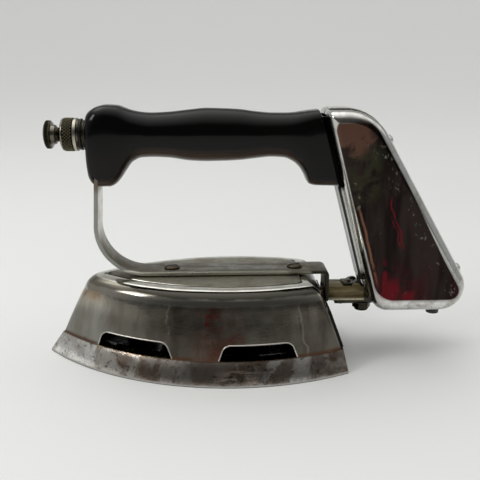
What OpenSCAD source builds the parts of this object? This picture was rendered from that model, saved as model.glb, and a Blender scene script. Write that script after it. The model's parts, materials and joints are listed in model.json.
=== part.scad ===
// Self-heating gasoline iron: a hot sole under a pressed cover, a black handle that
// holds the air pump, and a wedge-shaped fuel tank behind it. Origin at the middle of
// the sole's underside, nose towards -X, millimetres.

/* [Sole plate] */
// Length of the sole from nose to heel
sole_len = 186; // [176:1:196]
// Width of the sole at its widest
sole_w = 107; // [101:1:113]
// Where the sole is widest, measured from its middle towards the heel
widest_x = 25; // [20:1:30]
// Height of the sole plate
sole_t = 13.5; // [12.5:0.5:15]
// How far the sides lean in from the bottom edge to the top edge
sole_flare = 6.3; // [5.3:0.1:7.3]
// Height of the straight bottom edge
sole_edge = 1.2; // [0.8:0.1:2]
// Thickness left under the burner recess
floor_t = 6.5; // [5:0.5:8]
// Width of the rim round the burner recess
rim_w = 8; // [6:0.5:9]

/* [Shell] */
// Height of the deck above the table
deck_h = 52.4; // [51:0.1:54]
// Thickness of the pressed sheet
sheet_t = 1; // [0.8:0.1:1.4]
// How far the side walls lean in for each millimetre of height
wall_lean = 0.22; // [0.18:0.01:0.26]
// How far the heel wall leans in for each millimetre of height
heel_wall_lean = 0.37; // [0.33:0.01:0.4]
// Radius of the shoulder between wall and deck
shoulder_r = 10; // [8:0.5:12]
// Radius of the nose edge at the foot of the shell
nose_low_r = 1.6; // [1.4:0.1:2.2]
// Radius of the nose where the shoulder starts
nose_high_r = 12; // [10:0.5:14]
// Radius of the two heel corners
heel_corner_r = 4; // [3:0.5:5]
// Length of each air opening
window_len = 46; // [42:1:48]
// Height of each air opening
window_h = 9; // [8:0.5:9.5]
// How far each end of an air opening slants in
window_slant = 3; // [2:0.5:4]
// Radius of the upper corners of an air opening
window_r = 5.5; // [4:0.5:6]
// Middle of the front pair of air openings
front_window_x = -35.4; // [-37:0.2:-34]
// Middle of the rear pair of air openings
rear_window_x = 38.2; // [37:0.2:40]
// Thickness of the dark plate on the heel wall
heel_plate_t = 1.6; // [1:0.1:2]
// Height of the top of the heel plate above the table
heel_plate_h = 36; // [32:0.5:37]

/* [Frame bar] */
// Width of the flat bar
bar_w = 17; // [15:0.5:18]
// Thickness of the flat bar
bar_t = 2.5; // [2:0.1:3]
// Gap that the two spacers keep between bar and deck
bar_gap = 0.8; // [0.6:0.1:1.4]
// Radius of the two spacers under the bar
spacer_r = 4.2; // [3.8:0.1:4.6]
// Outer radius of the large front bend
front_bend_r = 30; // [27:0.5:32]
// Middle of the front bend
front_bend_x = -29.2; // [-31:0.2:-28.6]
// Backward lean of the upright strap in degrees
strap_lean = 3.7; // [2.5:0.1:5]
// Outer radius of the rear bend
rear_bend_r = 4; // [3:0.5:5]
// Front screw, from the middle of the sole
front_screw_x = -13.7; // [-16:0.5:-12]
// Rear screw, from the middle of the sole
rear_screw_x = 63.5; // [62:0.5:65]
// Radius of the round eye at the top of the strap
strap_eye_r = 10.6; // [10:0.1:11]
// Radius of the screw shank
screw_r = 2.4; // [2:0.1:2.6]
// Radius of the slotted screw head
screw_head_r = 4.75; // [4:0.25:5]

/* [Handle] */
// Greatest half width of the grip
grip_half_w = 13.4; // [12.4:0.2:14.4]
// Depth of the handle's two feet below the pump's axis
foot_below = 30.6; // [30:0.2:31.4]
// Height of the thinnest top of the grip above the pump's axis
grip_above = 12.4; // [12:0.2:13.4]
// Height of the front hump above the pump's axis
hump_above = 17.3; // [16.5:0.1:18.5]
// Height of the grip at its thinnest
grip_h = 26.2; // [25.6:0.2:27.4]
// Front face of the handle
handle_front_x = -61.2; // [-62.4:0.2:-60.2]

/* [Fuel tank] */
// Half width of the tank
tank_half_w = 20; // [18:0.5:22]
// Top of the tank
tank_top_z = 153.6; // [152:0.2:155]
// Underside of the tank
tank_low_z = 31; // [29:0.5:33]
// Front face of the tank at its top
tank_front_x = 77.8; // [76:0.2:79]
// Length of the tank along its top
tank_top_len = 28.2; // [25:0.2:31]
// How far the front face slopes back for each millimetre down
front_slope = 0.275; // [0.26:0.005:0.29]
// How far the rear face slopes back for each millimetre down
rear_slope = 0.596; // [0.56:0.005:0.62]
// Radius of the top rear bend
top_bend_r = 28; // [24:0.5:32]
// Radius of the bottom rear bend
heel_bend_r = 15; // [13:0.5:17]
// Radius of the bottom front bend
toe_bend_r = 12; // [10:0.5:14]
// Radius of the shoulder round each side face
tank_shoulder_r = 6.5; // [5:0.5:8]
// How far that shoulder reaches into the front face
front_shoulder = 4.5; // [3.5:0.5:5.5]
// Radius of the edge between front face and top
lip_r = 3.2; // [2.6:0.2:3.8]
// Wall of the tank
tank_wall = 0.9; // [0.7:0.1:1.2]
// Half width of the raised band over the top seam
band_half_w = 6; // [4:0.5:8]
// Thickness of the raised band
band_t = 0.8; // [0.5:0.1:1.2]
// Radius of a tank foot
foot_r = 3.2; // [2.8:0.1:3.6]
// Height of a tank foot
foot_h = 2.2; // [1.8:0.1:2.6]
// Distance of each tank foot from the middle plane
foot_y = 9; // [8:0.5:10]
// Distance of the filler plug behind the tank's bottom front corner
filler_offset = 42.5; // [40:0.5:45]

/* [Air pump] */
// Depth of the pump's axis below the top of the tank
pump_drop = 14.6; // [14.2:0.1:15]
// Outer radius of the pump barrel
barrel_r = 8.1; // [7.6:0.1:8.4]
// Wall of the pump barrel
barrel_wall = 1; // [0.8:0.1:1.3]
// Radius of the pump rod
rod_r = 2; // [1.6:0.1:2.4]
// Outer radius of the knurled pump cap
cap_r = 9.8; // [9.4:0.1:10.4]
// Length of the pump cap
cap_len = 10.4; // [10:0.2:11]
// Length of the lock ring behind the cap
lock_len = 1.3; // [1:0.1:1.8]
// Radius of the plunger knob
knob_r = 8.3; // [7.5:0.1:9]
// Stroke of the plunger
plunger_stroke = 110; // [90:5:120]

/* [Valve and burner] */
// Height of the generator tube's axis
gen_z = 37.5; // [37:0.1:38]
// Outer radius of the generator tube
gen_r = 4; // [3.5:0.1:4.2]
// Half width of the valve body
valve_half_w = 5.6; // [5.2:0.1:6]
// Underside of the valve body
valve_low_z = 31.6; // [31:0.1:32.2]
// Top of the rear arm
arm_top_z = 44; // [43.6:0.1:44.6]
// Sheet thickness of the rear arm
arm_t = 1.4; // [1.2:0.1:1.6]
// Height of the rear arm's sides
arm_side_h = 7.4; // [7:0.1:7.8]
// Distance of the valve stem in front of the tank joint
stem_inset = 3.9; // [3.5:0.1:4.3]
// Radius of the black valve knob
valve_knob_r = 5; // [4.5:0.1:5.6]
// Half width of the burner
burner_half_w = 13; // [12:0.5:14]
// Height of the burner casting
burner_h = 12; // [10:0.5:13]
// Half width of the rear support channel
support_half_w = 8; // [7.5:0.1:8.5]
// Depth of the rear support channel
support_depth = 3; // [2.6:0.1:3.4]
// Sheet thickness of the rear support
support_t = 1.2; // [1:0.1:1.4]

/* [Fits] */
// Running clearance on each radius
run_fit = 0.05; // [0.02:0.01:0.08]
// Clearance of a screw or tube in a plain hole
hole_fit = 0.3; // [0.2:0.05:0.5]
// Gap between pieces that lie side by side
side_gap = 0.3; // [0.2:0.05:0.4]
// Travel of the pump cap when it is unscrewed
cap_travel = 8; // [7.8:0.1:9]
// Travel of the filler plug when it is unscrewed
plug_travel = 7; // [6:0.5:8]

/* [Hidden] */
$fn = 96;
tiny = 0.01;
past = 1;
nose_x = -sole_len / 2;
heel_x = sole_len / 2;
half_w = sole_w / 2;
widest_run = widest_x - nose_x;
side_r = (widest_run * widest_run + half_w * half_w) / (2 * half_w);
side_c = side_r - half_w;
heel_lean = 2.5;
recess_r = side_r - sole_flare - rim_w;
shell_base = sole_flare + 0.2;
heel_base = heel_lean + 1;
pump_z = tank_top_z - pump_drop;
handle_foot_z = pump_z - foot_below;
bar_z = deck_h + bar_gap;
bar_top_z = bar_z + bar_t;
post_top_z = deck_h - sheet_t;
tab_low_z = gen_z - gen_r + 1.4;
tab_x = heel_wall_x(tab_low_z) + side_gap + bar_t;
handle_gap = support_depth + run_fit;
barrel_front_x = handle_front_x - 11.4;
barrel_end_x = tank_face_x(pump_z) + 15;
barrel_bore_r = barrel_r - barrel_wall;
end_wall_t = 3;
cap_wall_t = 1.9;
cap_front_x = barrel_front_x - 0.8 - cap_wall_t;
cap_rear_x = cap_front_x + cap_len;
knob_gap = 0.3;
knob_base_x = cap_front_x - knob_gap;
piston_x = barrel_end_x - end_wall_t - 6;
burner_z = floor_t + 6.5;
burner_top_z = burner_z + burner_h;
burner_front_x = -50;
burner_rear_x = 42;
elbow_r = 9;
inlet_x = 13;
arm_front_x = tab_x;
arm_half_w = valve_half_w + arm_t;
web_low_z = arm_top_z - arm_t;
body_front_x = arm_front_x + 5;
tank_joint_x = tank_face_x(arm_top_z) - 1;
strainer_x = tank_joint_x + 0.4;
foot_low_z = arm_top_z;
stem_x = tank_joint_x - stem_inset;
ear_x = stem_x - 1;
rivet_x = tank_joint_x - 9.4;
foot_front_x = rivet_x - 3.5;
filler_x = tank_toe_x() + filler_offset;

// Points on an arc from angle a to angle b, without the last one
function arc(c, r, a, b, n) =
    [for (i = [0 : n - 1]) c + r * [cos(a + (b - a) * i / n), sin(a + (b - a) * i / n)]];

// Plan of the leaf: two side arcs, a round nose and two round heel corners
function leaf(inset, heel_inset, tip_r, corner_r) =
    let (
        r = side_r - inset,
        tip_x = widest_x - sqrt((r - tip_r) * (r - tip_r) - side_c * side_c),
        end_x = heel_x - heel_inset,
        cx = end_x - corner_r,
        cy = sqrt((r - corner_r) * (r - corner_r) - (cx - widest_x) * (cx - widest_x)) - side_c,
        a = atan2(-side_c, tip_x - widest_x),
        b = atan2(-cy - side_c, cx - widest_x)
    )
    concat(
        arc([widest_x, side_c], r, a, b, 14),
        arc([cx, -cy], corner_r, b, 0, 4),
        [[end_x, -cy]],
        arc([cx, cy], corner_r, 0, -b, 4),
        arc([widest_x, -side_c], r, -b, -a, 14),
        arc([tip_x, 0], tip_r, -a, 360 + a, 8)
    );

// Inset of the shell's outside at a height on its straight wall
function wall_inset(z) = shell_base + wall_lean * (z - sole_t);
// Outside of the heel wall at a height
function heel_wall_x(z) = heel_x - heel_base - heel_wall_lean * (z - sole_t);
// Front face of the tank at a height
function tank_face_x(z) = tank_front_x + front_slope * (tank_top_z - z);
// Rear face of the tank at a height
function tank_rear_x(z) = tank_front_x + tank_top_len + rear_slope * (tank_top_z - z);
// Bottom front corner of the tank
function tank_toe_x() = tank_face_x(tank_low_z);

// One smooth skin through rings that have the same number of points
module loft(rings) {
    n = len(rings[0]);
    m = len(rings);
    points = [for (ring = rings) each ring];
    sides = [for (k = [0 : m - 2]) for (i = [0 : n - 1])
        let (a = k * n + i, b = k * n + (i + 1) % n)
        each [[a, b + n, b], [a, a + n, b + n]]];
    ends = [[for (i = [0 : n - 1]) i], [for (i = [n - 1 : -1 : 0]) (m - 1) * n + i]];
    polyhedron(points = points, faces = concat(sides, ends));
}

// A cylinder along +X from x0 to x1 at a height
module rod_x(x0, x1, r, z) {
    translate([x0, 0, z]) rotate([0, 90, 0]) cylinder(h = x1 - x0, r = r);
}

// A cylinder along +Y from y0 to y1
module rod_y(x, z, y0, y1, r) {
    translate([x, y0, z]) rotate([-90, 0, 0]) cylinder(h = y1 - y0, r = r);
}

// A block with square corners from one corner to the other
module block(low, high) {
    translate(low) cube(high - low);
}

// A side view in the X-Z plane, extruded evenly to both sides
module extrude_y(width) {
    translate([0, width / 2, 0]) rotate([90, 0, 0]) linear_extrude(width) children();
}

// Lens between two upright cones, the plan of the sole
module lens(z, h, r_low, r_high) {
    intersection() {
        translate([widest_x, side_c, z]) cylinder(h = h, r1 = r_low, r2 = r_high, $fn = 200);
        translate([widest_x, -side_c, z]) cylinder(h = h, r1 = r_low, r2 = r_high, $fn = 200);
    }
}

// Everything in front of the slanting heel end
module heel_cut(inset) {
    extrude_y(2 * sole_w)
        polygon([
            [nose_x - past, -past], [heel_x - inset, -past], [heel_x - inset, sole_edge],
            [heel_x - inset - heel_lean, sole_t], [heel_x - inset - heel_lean, sole_t + past],
            [nose_x - past, sole_t + past]
        ]);
}

// Screw holes through the bar, the spacers and the deck
module frame_screw_places() {
    for (x = [front_screw_x, rear_screw_x]) translate([x, 0, 0]) children();
}

// Places of the two burner screws
burner_screw_r = 1.5;
burner_screw_xs = [-38, 32];

module sole_plate() {
    post_r = 5.5;
    arch_half_x = 4.5;
    arch_half_y = 14;
    arch_r = 8;
    color("gray") difference() {
        union() {
            difference() {
                intersection() {
                    union() {
                        lens(0, sole_edge, side_r, side_r);
                        lens(sole_edge, sole_t - sole_edge, side_r, side_r - sole_flare);
                    }
                    heel_cut(0);
                }
                intersection() {
                    lens(floor_t, sole_t, recess_r, recess_r);
                    heel_cut(rim_w + heel_lean);
                }
            }
            translate([front_screw_x, 0, floor_t - tiny])
                cylinder(h = post_top_z - floor_t + tiny, r = post_r);
            difference() {
                block([rear_screw_x - arch_half_x, -arch_half_y, floor_t - tiny],
                      [rear_screw_x + arch_half_x, arch_half_y, post_top_z]);
                block([rear_screw_x - sole_t, -arch_r, floor_t],
                      [rear_screw_x + sole_t, arch_r, gen_z]);
                rod_x(rear_screw_x - sole_t, rear_screw_x + sole_t, arch_r, gen_z);
            }
            for (x = burner_screw_xs) translate([x, 0, floor_t - tiny])
                cylinder(h = burner_z - floor_t + tiny, r = post_r);
        }
        translate([front_screw_x, 0, post_top_z - 15])
            cylinder(h = 15 + past, r = screw_r + run_fit);
        translate([rear_screw_x, 0, gen_z])
            cylinder(h = post_top_z - gen_z + past, r = screw_r + run_fit);
        for (x = burner_screw_xs) translate([x, 0, floor_t])
            cylinder(h = burner_z, r = burner_screw_r + run_fit);
    }
}

// Inset of a shell wall at a height: a leaning wall, then a round shoulder up to the deck
function skin_inset(z, base, lean, shrink) =
    let (
        a = atan(lean),
        r = shoulder_r - shrink,
        up = z - deck_h + shoulder_r,
        start_z = deck_h - shoulder_r * (1 - sin(a)),
        centre = base + lean * (start_z - sole_t) + shoulder_r * cos(a)
    )
    up < r * sin(a) ? base + lean * (z - sole_t) + shrink / cos(a)
                    : centre - sqrt(max(0, r * r - up * up));

// Radius of the nose at a height: it grows up the wall and narrows over the shoulder
function nose_radius(z, inset, shrink) =
    let (start_z = deck_h - shoulder_r * (1 - sin(atan(wall_lean))))
    nose_low_r + (nose_high_r - nose_low_r) * min(1, (z - sole_t) / (start_z - sole_t))
    - 0.6 * max(0, inset - wall_inset(start_z)) - shrink;

// One skin of the shell: straight walls, a round shoulder and a flat deck
module shell_skin(shrink, low_z) {
    lean_a = atan(wall_lean);
    steps = 6;
    heights = concat([low_z], [for (i = [0 : steps]) let (a = lean_a + (90 - lean_a) * i / steps)
        deck_h - shoulder_r + (shoulder_r - shrink) * sin(a)]);
    loft([for (z = heights) let (
            side = skin_inset(z, shell_base, wall_lean, shrink),
            heel = skin_inset(z, heel_base, heel_wall_lean, shrink)
        )
        [for (q = leaf(side, heel, nose_radius(z, side, shrink), heel_corner_r - shrink))
            [q[0], q[1], z]]]);
}

// Air opening with slanting ends and round upper corners, cut through both walls
module window_cut(x) {
    half = window_len / 2;
    slant = window_slant;
    foot = sole_t - past;
    top = sole_t + window_h;
    translate([x, 0, 0]) extrude_y(2 * sole_w)
        polygon(concat(
            [[half, foot]],
            fillet([half, foot], [half - slant, top], [slant - half, top], window_r, 4),
            fillet([half, top], [slant - half, top], [-half, foot], window_r, 4),
            [[-half, foot]]
        ));
}

module body_shell() {
    color("silver") difference() {
        shell_skin(0, sole_t);
        shell_skin(sheet_t, sole_t - past);
        window_cut(front_window_x);
        window_cut(rear_window_x);
        frame_screw_places() cylinder(h = deck_h + past, r = screw_r + hole_fit);
        rod_x(rear_screw_x, heel_x, gen_r + 2 * hole_fit, gen_z);
    }
}

// Half width of the flat heel wall at a height
function heel_flat(z) =
    let (
        r = side_r - wall_inset(z) - heel_corner_r,
        run = heel_wall_x(z) - heel_corner_r - widest_x
    )
    sqrt(r * r - run * run) - side_c;

module heel_plate() {
    skin = heel_plate_t / cos(atan(heel_wall_lean));
    color("dimgray") difference() {
        intersection() {
            extrude_y(sole_w)
                polygon([
                    [heel_wall_x(sole_t), sole_t], [heel_wall_x(sole_t) + skin, sole_t],
                    [heel_wall_x(heel_plate_h) + skin, heel_plate_h],
                    [heel_wall_x(heel_plate_h), heel_plate_h]
                ]);
            translate([rear_screw_x, 0, 0]) rotate([90, 0, 90]) linear_extrude(half_w)
                polygon([
                    [-heel_flat(sole_t), sole_t - past], [heel_flat(sole_t), sole_t - past],
                    [heel_flat(heel_plate_h), heel_plate_h + past],
                    [-heel_flat(heel_plate_h), heel_plate_h + past]
                ]);
        }
        rod_x(rear_screw_x, heel_x, gen_r + 2 * hole_fit, gen_z);
        block([rear_screw_x, -bar_w / 2 - side_gap, tab_low_z - side_gap],
              [heel_x, bar_w / 2 + side_gap, deck_h]);
    }
}

module burner() {
    port_r = 1.1;
    port_step = 6;
    port_depth = 3;
    front = burner_front_x + burner_half_w;
    rear = burner_rear_x - burner_half_w;
    color("dimgray") difference() {
        union() {
            block([front, -burner_half_w, burner_z], [rear, burner_half_w, burner_top_z]);
            for (x = [front, rear]) translate([x, 0, burner_z])
                cylinder(h = burner_h, r = burner_half_w);
        }
        translate([front_screw_x, 0, burner_z - past])
            cylinder(h = burner_h + 2 * past, r = 6.5);
        for (x = burner_screw_xs) translate([x, 0, burner_z - past])
            cylinder(h = burner_h + 2 * past, r = burner_screw_r + hole_fit);
        translate([inlet_x, 0, burner_z + burner_h / 3]) cylinder(h = burner_h, r = 4.8);
        for (x = [front + 3 : port_step : rear - 3]) for (side = [-1, 1])
            rod_y(x, burner_z + 0.65 * burner_h,
                  side > 0 ? burner_half_w - port_depth : -burner_half_w - past,
                  side > 0 ? burner_half_w + past : port_depth - burner_half_w, port_r);
    }
}

module burner_screws() {
    head_r = 3;
    head_h = 1.8;
    color("silver") for (x = burner_screw_xs) translate([x, 0, 0]) difference() {
        union() {
            translate([0, 0, burner_top_z]) cylinder(h = head_h, r = head_r);
            translate([0, 0, floor_t + past])
                cylinder(h = burner_top_z - floor_t, r = burner_screw_r);
        }
        block([-head_r, -0.5, burner_top_z + head_h / 2],
              [head_r, 0.5, burner_top_z + 2 * head_h]);
    }
}

mix_end_x = 44;
mix_bell = 5;
jet_gap = 12;
flange_r = 9;
flange_t = 2;

// Elbow of the mixing tube at a radius, with a bell that opens towards the jet
module mix_path(r, more) {
    rod_x(inlet_x + elbow_r, mix_end_x, r, gen_z);
    translate([inlet_x + elbow_r, 0, gen_z - elbow_r]) rotate([90, 0, 0]) rotate([0, 0, 90])
        rotate_extrude(angle = 90) translate([elbow_r, 0]) circle(r = r);
    translate([inlet_x, 0, burner_top_z - more])
        cylinder(h = gen_z - elbow_r - burner_top_z + more, r = r);
    translate([mix_end_x, 0, gen_z]) rotate([0, 90, 0])
        cylinder(h = mix_bell + more, r1 = r, r2 = r + 2 * (mix_bell + more) / mix_bell);
}

module mixing_tube() {
    tube_r = 6;
    bore_r = 4.8;
    color("peru") difference() {
        union() {
            mix_path(tube_r, 0);
            translate([inlet_x, 0, burner_top_z]) cylinder(h = flange_t, r = flange_r);
        }
        mix_path(bore_r, tiny);
    }
}

// Length of the upright strap from the front bend to the pump's axis
function strap_up() =
    (pump_z - bar_z - front_bend_r - (front_bend_r - bar_t / 2) * sin(strap_lean))
    / cos(strap_lean);

// A point beside the leaning strap: x across it, z up along it from the front bend
function by_strap(x, z) = [
    front_bend_x + x * cos(strap_lean) + z * sin(strap_lean),
    bar_z + front_bend_r - x * sin(strap_lean) + z * cos(strap_lean)
];

// Side view of the bent bar: strap, front bend, deck part, rear bend and tab
function bar_profile() =
    let (
        front = [front_bend_x, bar_z + front_bend_r],
        rear = [tab_x - rear_bend_r, bar_top_z - rear_bend_r],
        start = 180 - strap_lean,
        in_r = front_bend_r - bar_t,
        eye_top = strap_up() + strap_eye_r + past
    )
    concat(
        [by_strap(-front_bend_r, eye_top)],
        arc(front, front_bend_r, start, 270, 24),
        [[front_bend_x, bar_z]],
        arc(rear, rear_bend_r - bar_t, 90, 0, 6),
        [[tab_x - bar_t, rear[1]], [tab_x - bar_t, tab_low_z], [tab_x, tab_low_z]],
        arc(rear, rear_bend_r, 0, 90, 6),
        [[rear[0], bar_top_z]],
        arc(front, in_r, 270, start, 24),
        [by_strap(-in_r, 0), by_strap(-in_r, eye_top)]
    );

arm_rivet_y = 4.35;
arm_rivet_r = 1;
arm_rivet_up = 3.8;
arm_rivet_z = gen_z + arm_rivet_up;

module frame_bar() {
    notch = gen_r + hole_fit;
    color("rosybrown") difference() {
        intersection() {
            extrude_y(3 * strap_eye_r) polygon(bar_profile());
            translate([front_bend_x, 0, bar_z + front_bend_r]) rotate([0, strap_lean, 0]) {
                block([-2 * front_bend_r, -bar_w / 2, -3 * front_bend_r],
                      [sole_len, bar_w / 2, strap_up()]);
                translate([-2 * front_bend_r, 0, strap_up()]) rotate([0, 90, 0])
                    cylinder(h = 2 * front_bend_r, r = strap_eye_r);
            }
        }
        rod_x(handle_front_x, 0, barrel_r + hole_fit, pump_z);
        frame_screw_places() cylinder(h = bar_top_z + past, r = screw_r + hole_fit);
        rod_x(rear_screw_x + screw_head_r, heel_x, notch, gen_z);
        block([tab_x - 2 * bar_t, -notch, tab_low_z - past], [tab_x + bar_t, notch, gen_z]);
        for (y = [-arm_rivet_y, arm_rivet_y]) translate([0, y, 0])
            rod_x(tab_x - 2 * bar_t, tab_x + bar_t, arm_rivet_r + run_fit, arm_rivet_z);
    }
}

module bar_spacers() {
    color("darkkhaki") frame_screw_places() translate([0, 0, deck_h]) difference() {
        cylinder(h = bar_gap, r = spacer_r);
        translate([0, 0, -past]) cylinder(h = bar_gap + 2 * past, r = screw_r + hole_fit);
    }
}

module frame_screws() {
    head_h = 1.4;
    slot_w = 1.2;
    color("darkkhaki") frame_screw_places() difference() {
        union() {
            translate([0, 0, bar_top_z]) cylinder(h = head_h / 2, r = screw_head_r);
            translate([0, 0, bar_top_z + head_h / 2])
                cylinder(h = head_h / 2, r1 = screw_head_r, r2 = screw_head_r - head_h);
            translate([0, 0, post_top_z - 5]) cylinder(h = bar_top_z - post_top_z + 5 + tiny,
                                                       r = screw_r);
        }
        translate([0, 0, bar_top_z + head_h / 2]) rotate([0, 0, 24])
            block([-screw_head_r - past, -slot_w / 2, 0], [screw_head_r + past, slot_w / 2, 2]);
    }
}

// Tank outline grown by the side gap, to keep neighbours clear of the tank
module tank_keepout() {
    extrude_y(sole_w) polygon(tank_outline(-side_gap, -side_gap));
}

module rear_arm() {
    arm_low_z = arm_top_z - arm_side_h;
    lip = 1.2;
    ear_r = 3.2;
    inner = valve_half_w + run_fit;
    color("darkkhaki") difference() {
        union() {
            block([arm_front_x, -arm_half_w, web_low_z], [tank_joint_x, arm_half_w, arm_top_z]);
            for (side = [0, 1]) mirror([0, side, 0]) {
                block([arm_front_x, inner, arm_low_z - lip], [tank_joint_x, arm_half_w, arm_top_z]);
                block([arm_front_x, inner, arm_low_z - lip],
                      [tank_joint_x, arm_half_w + lip, arm_low_z]);
                rod_y(ear_x, arm_top_z - 1, inner, arm_half_w, ear_r);
            }
            block([arm_front_x, -arm_half_w, arm_low_z], [arm_front_x + arm_t, arm_half_w, arm_top_z]);
        }
        rod_x(arm_front_x - past, arm_front_x + 2 * arm_t, gen_r + run_fit, gen_z);
        rod_y(stem_x, gen_z, 0, sole_w, 4.9);
        translate([rivet_x, 0, gen_z]) cylinder(h = sole_t, r = 1.2 + run_fit);
        for (y = [-arm_rivet_y, arm_rivet_y]) translate([0, y, 0])
            rod_x(arm_front_x - past, arm_front_x + 2 * arm_t, arm_rivet_r + run_fit, arm_rivet_z);
        tank_keepout();
    }
}

module arm_rivets() {
    head_r = 1.7;
    head_h = 0.7;
    color("darkkhaki") for (y = [-arm_rivet_y, arm_rivet_y]) translate([0, y, 0]) {
        rod_x(tab_x - bar_t, arm_front_x + arm_t, arm_rivet_r, arm_rivet_z);
        rod_x(tab_x - bar_t - head_h, tab_x - bar_t, head_r, arm_rivet_z);
        rod_x(arm_front_x + arm_t, arm_front_x + arm_t + head_h, 1.2, arm_rivet_z);
    }
}

// Prism behind a plane parallel to the tank's face, from z0 to z1
module slope_prism(z0, z1, near, far, half) {
    extrude_y(2 * half) polygon([
        [tank_face_x(z0) + near, z0], [tank_face_x(z0) + far, z0],
        [tank_face_x(z1) + far, z1], [tank_face_x(z1) + near, z1]
    ]);
}

plate_half_w = 12;

module rear_support() {
    flange_low_z = arm_top_z + 5;
    plate_low_z = handle_foot_z;
    plate_top_z = pump_z + 11;
    foot_half_w = 5;
    color("silver") difference() {
        union() {
            difference() {
                slope_prism(flange_low_z, plate_low_z, -support_depth, 0, support_half_w);
                slope_prism(flange_low_z - past, plate_low_z + past, support_t - support_depth,
                            past, support_half_w - support_t);
            }
            difference() {
                slope_prism(plate_low_z, plate_top_z, -support_depth, 0, plate_half_w);
                slope_prism(plate_low_z - past, plate_top_z + past,
                            support_t - support_depth, past, plate_half_w - support_t);
            }
            slope_prism(foot_low_z, flange_low_z + tiny, -support_depth,
                        support_t - support_depth, foot_half_w);
            block([foot_front_x, -foot_half_w, foot_low_z],
                  [tank_face_x(foot_low_z) - support_depth + tiny, foot_half_w,
                   foot_low_z + support_t]);
        }
        rod_x(handle_front_x, heel_x + half_w, barrel_r + hole_fit, pump_z);
        translate([rivet_x, 0, gen_z]) cylinder(h = sole_t, r = 1.2 + run_fit);
    }
}

module support_rivet() {
    head_r = 2.4;
    dome_r = 3.4;
    top = foot_low_z + support_t;
    color("silver") translate([rivet_x, 0, 0]) {
        translate([0, 0, web_low_z]) cylinder(h = top - web_low_z + tiny, r = 1.2);
        intersection() {
            translate([0, 0, top - sqrt(dome_r * dome_r - head_r * head_r)]) sphere(r = dome_r);
            translate([0, 0, top]) cylinder(h = dome_r, r = head_r);
        }
    }
}

clamp_screw_x = body_front_x + 4.5;
clamp_screw_r = 1.1;
stem_r = 1.6;
needle_depth = 1.35;
needle_cone = 2.4;

module valve_body() {
    chamfer = 1.5;
    socket = 4;
    w = valve_half_w;
    color("darkgoldenrod") difference() {
        translate([body_front_x, 0, 0]) rotate([90, 0, 90])
            linear_extrude(tank_joint_x + 6 - body_front_x) polygon([
                [-w, web_low_z], [-w, valve_low_z + chamfer], [chamfer - w, valve_low_z],
                [w - chamfer, valve_low_z], [w, valve_low_z + chamfer], [w, web_low_z]
            ]);
        tank_keepout();
        rod_x(body_front_x - past, body_front_x + socket, gen_r + run_fit, gen_z);
        rod_x(body_front_x, tank_joint_x + 6, 1.3, gen_z);
        rod_x(tank_joint_x - 1, tank_joint_x + 2 * socket, 3 + run_fit, gen_z);
        rod_y(stem_x, gen_z, -needle_depth - run_fit, half_w, stem_r + run_fit);
        translate([strainer_x, 0, valve_low_z - past]) cylinder(h = 2.6 + past, r = 2.4);
        translate([clamp_screw_x, 0, valve_low_z - past])
            cylinder(h = 1.8 + past, r = clamp_screw_r + run_fit);
    }
}

module generator_tube() {
    color("peru") difference() {
        rod_x(mix_end_x + jet_gap, body_front_x + 4, gen_r, gen_z);
        rod_x(mix_end_x, body_front_x + 5, 2.2, gen_z);
    }
}

module gas_jet() {
    seat_x = mix_end_x + jet_gap;
    color("gold") difference() {
        union() {
            rod_x(seat_x - 3, seat_x + 4, 5.2, gen_z);
            translate([seat_x - 6, 0, gen_z]) rotate([0, 90, 0])
                cylinder(h = 3, r1 = 1.6, r2 = 4);
        }
        rod_x(seat_x, seat_x + 5, gen_r + run_fit, gen_z);
        rod_x(seat_x - 7, seat_x + 1, 0.5, gen_z);
    }
}

gasket_t = 0.6;

module strainer() {
    color("goldenrod") translate([strainer_x, 0, valve_low_z - gasket_t]) difference() {
        cylinder(h = 2.8, r = 2.2);
        translate([0, 0, -past]) cylinder(h = 2.4 + past, r = 1.8);
    }
}

module strainer_gasket() {
    color("black") translate([strainer_x, 0, valve_low_z - gasket_t]) difference() {
        cylinder(h = gasket_t, r = 5);
        translate([0, 0, -past]) cylinder(h = gasket_t + 2 * past, r = 2.6);
    }
}

module strainer_cap() {
    hex_h = 3;
    cone_h = 1.6;
    top = valve_low_z - gasket_t;
    color("darkgoldenrod") translate([strainer_x, 0, 0]) {
        translate([0, 0, top - hex_h]) cylinder(h = hex_h, r = 5.9, $fn = 6);
        translate([0, 0, top - hex_h - cone_h]) cylinder(h = cone_h + tiny, r1 = 4.3, r2 = 5);
    }
}

module clamp_screw() {
    color("dimgray") translate([clamp_screw_x, 0, valve_low_z - 1.6])
        cylinder(h = 3.2, r = clamp_screw_r);
}

nut_h = 3.6;

module packing_nut() {
    color("gold") difference() {
        translate([stem_x, valve_half_w, gen_z]) rotate([-90, 0, 0])
            cylinder(h = nut_h, r = 4.6, $fn = 6);
        rod_y(stem_x, gen_z, 0, half_w, stem_r + run_fit);
    }
}

needle_end_y = 4;

module valve_needle() {
    color("gray") {
        translate([stem_x, -needle_depth, gen_z]) rotate([-90, 0, 0])
            cylinder(h = needle_cone, r1 = 0.3, r2 = stem_r);
        rod_y(stem_x, gen_z, needle_cone - needle_depth - tiny, needle_end_y, stem_r);
    }
}

knob_near_y = 11;
knob_far_y = 17.5;

module valve_stem() {
    color("gray") rod_y(stem_x, gen_z, needle_end_y + tiny, knob_far_y - 1.5, stem_r);
}

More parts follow.
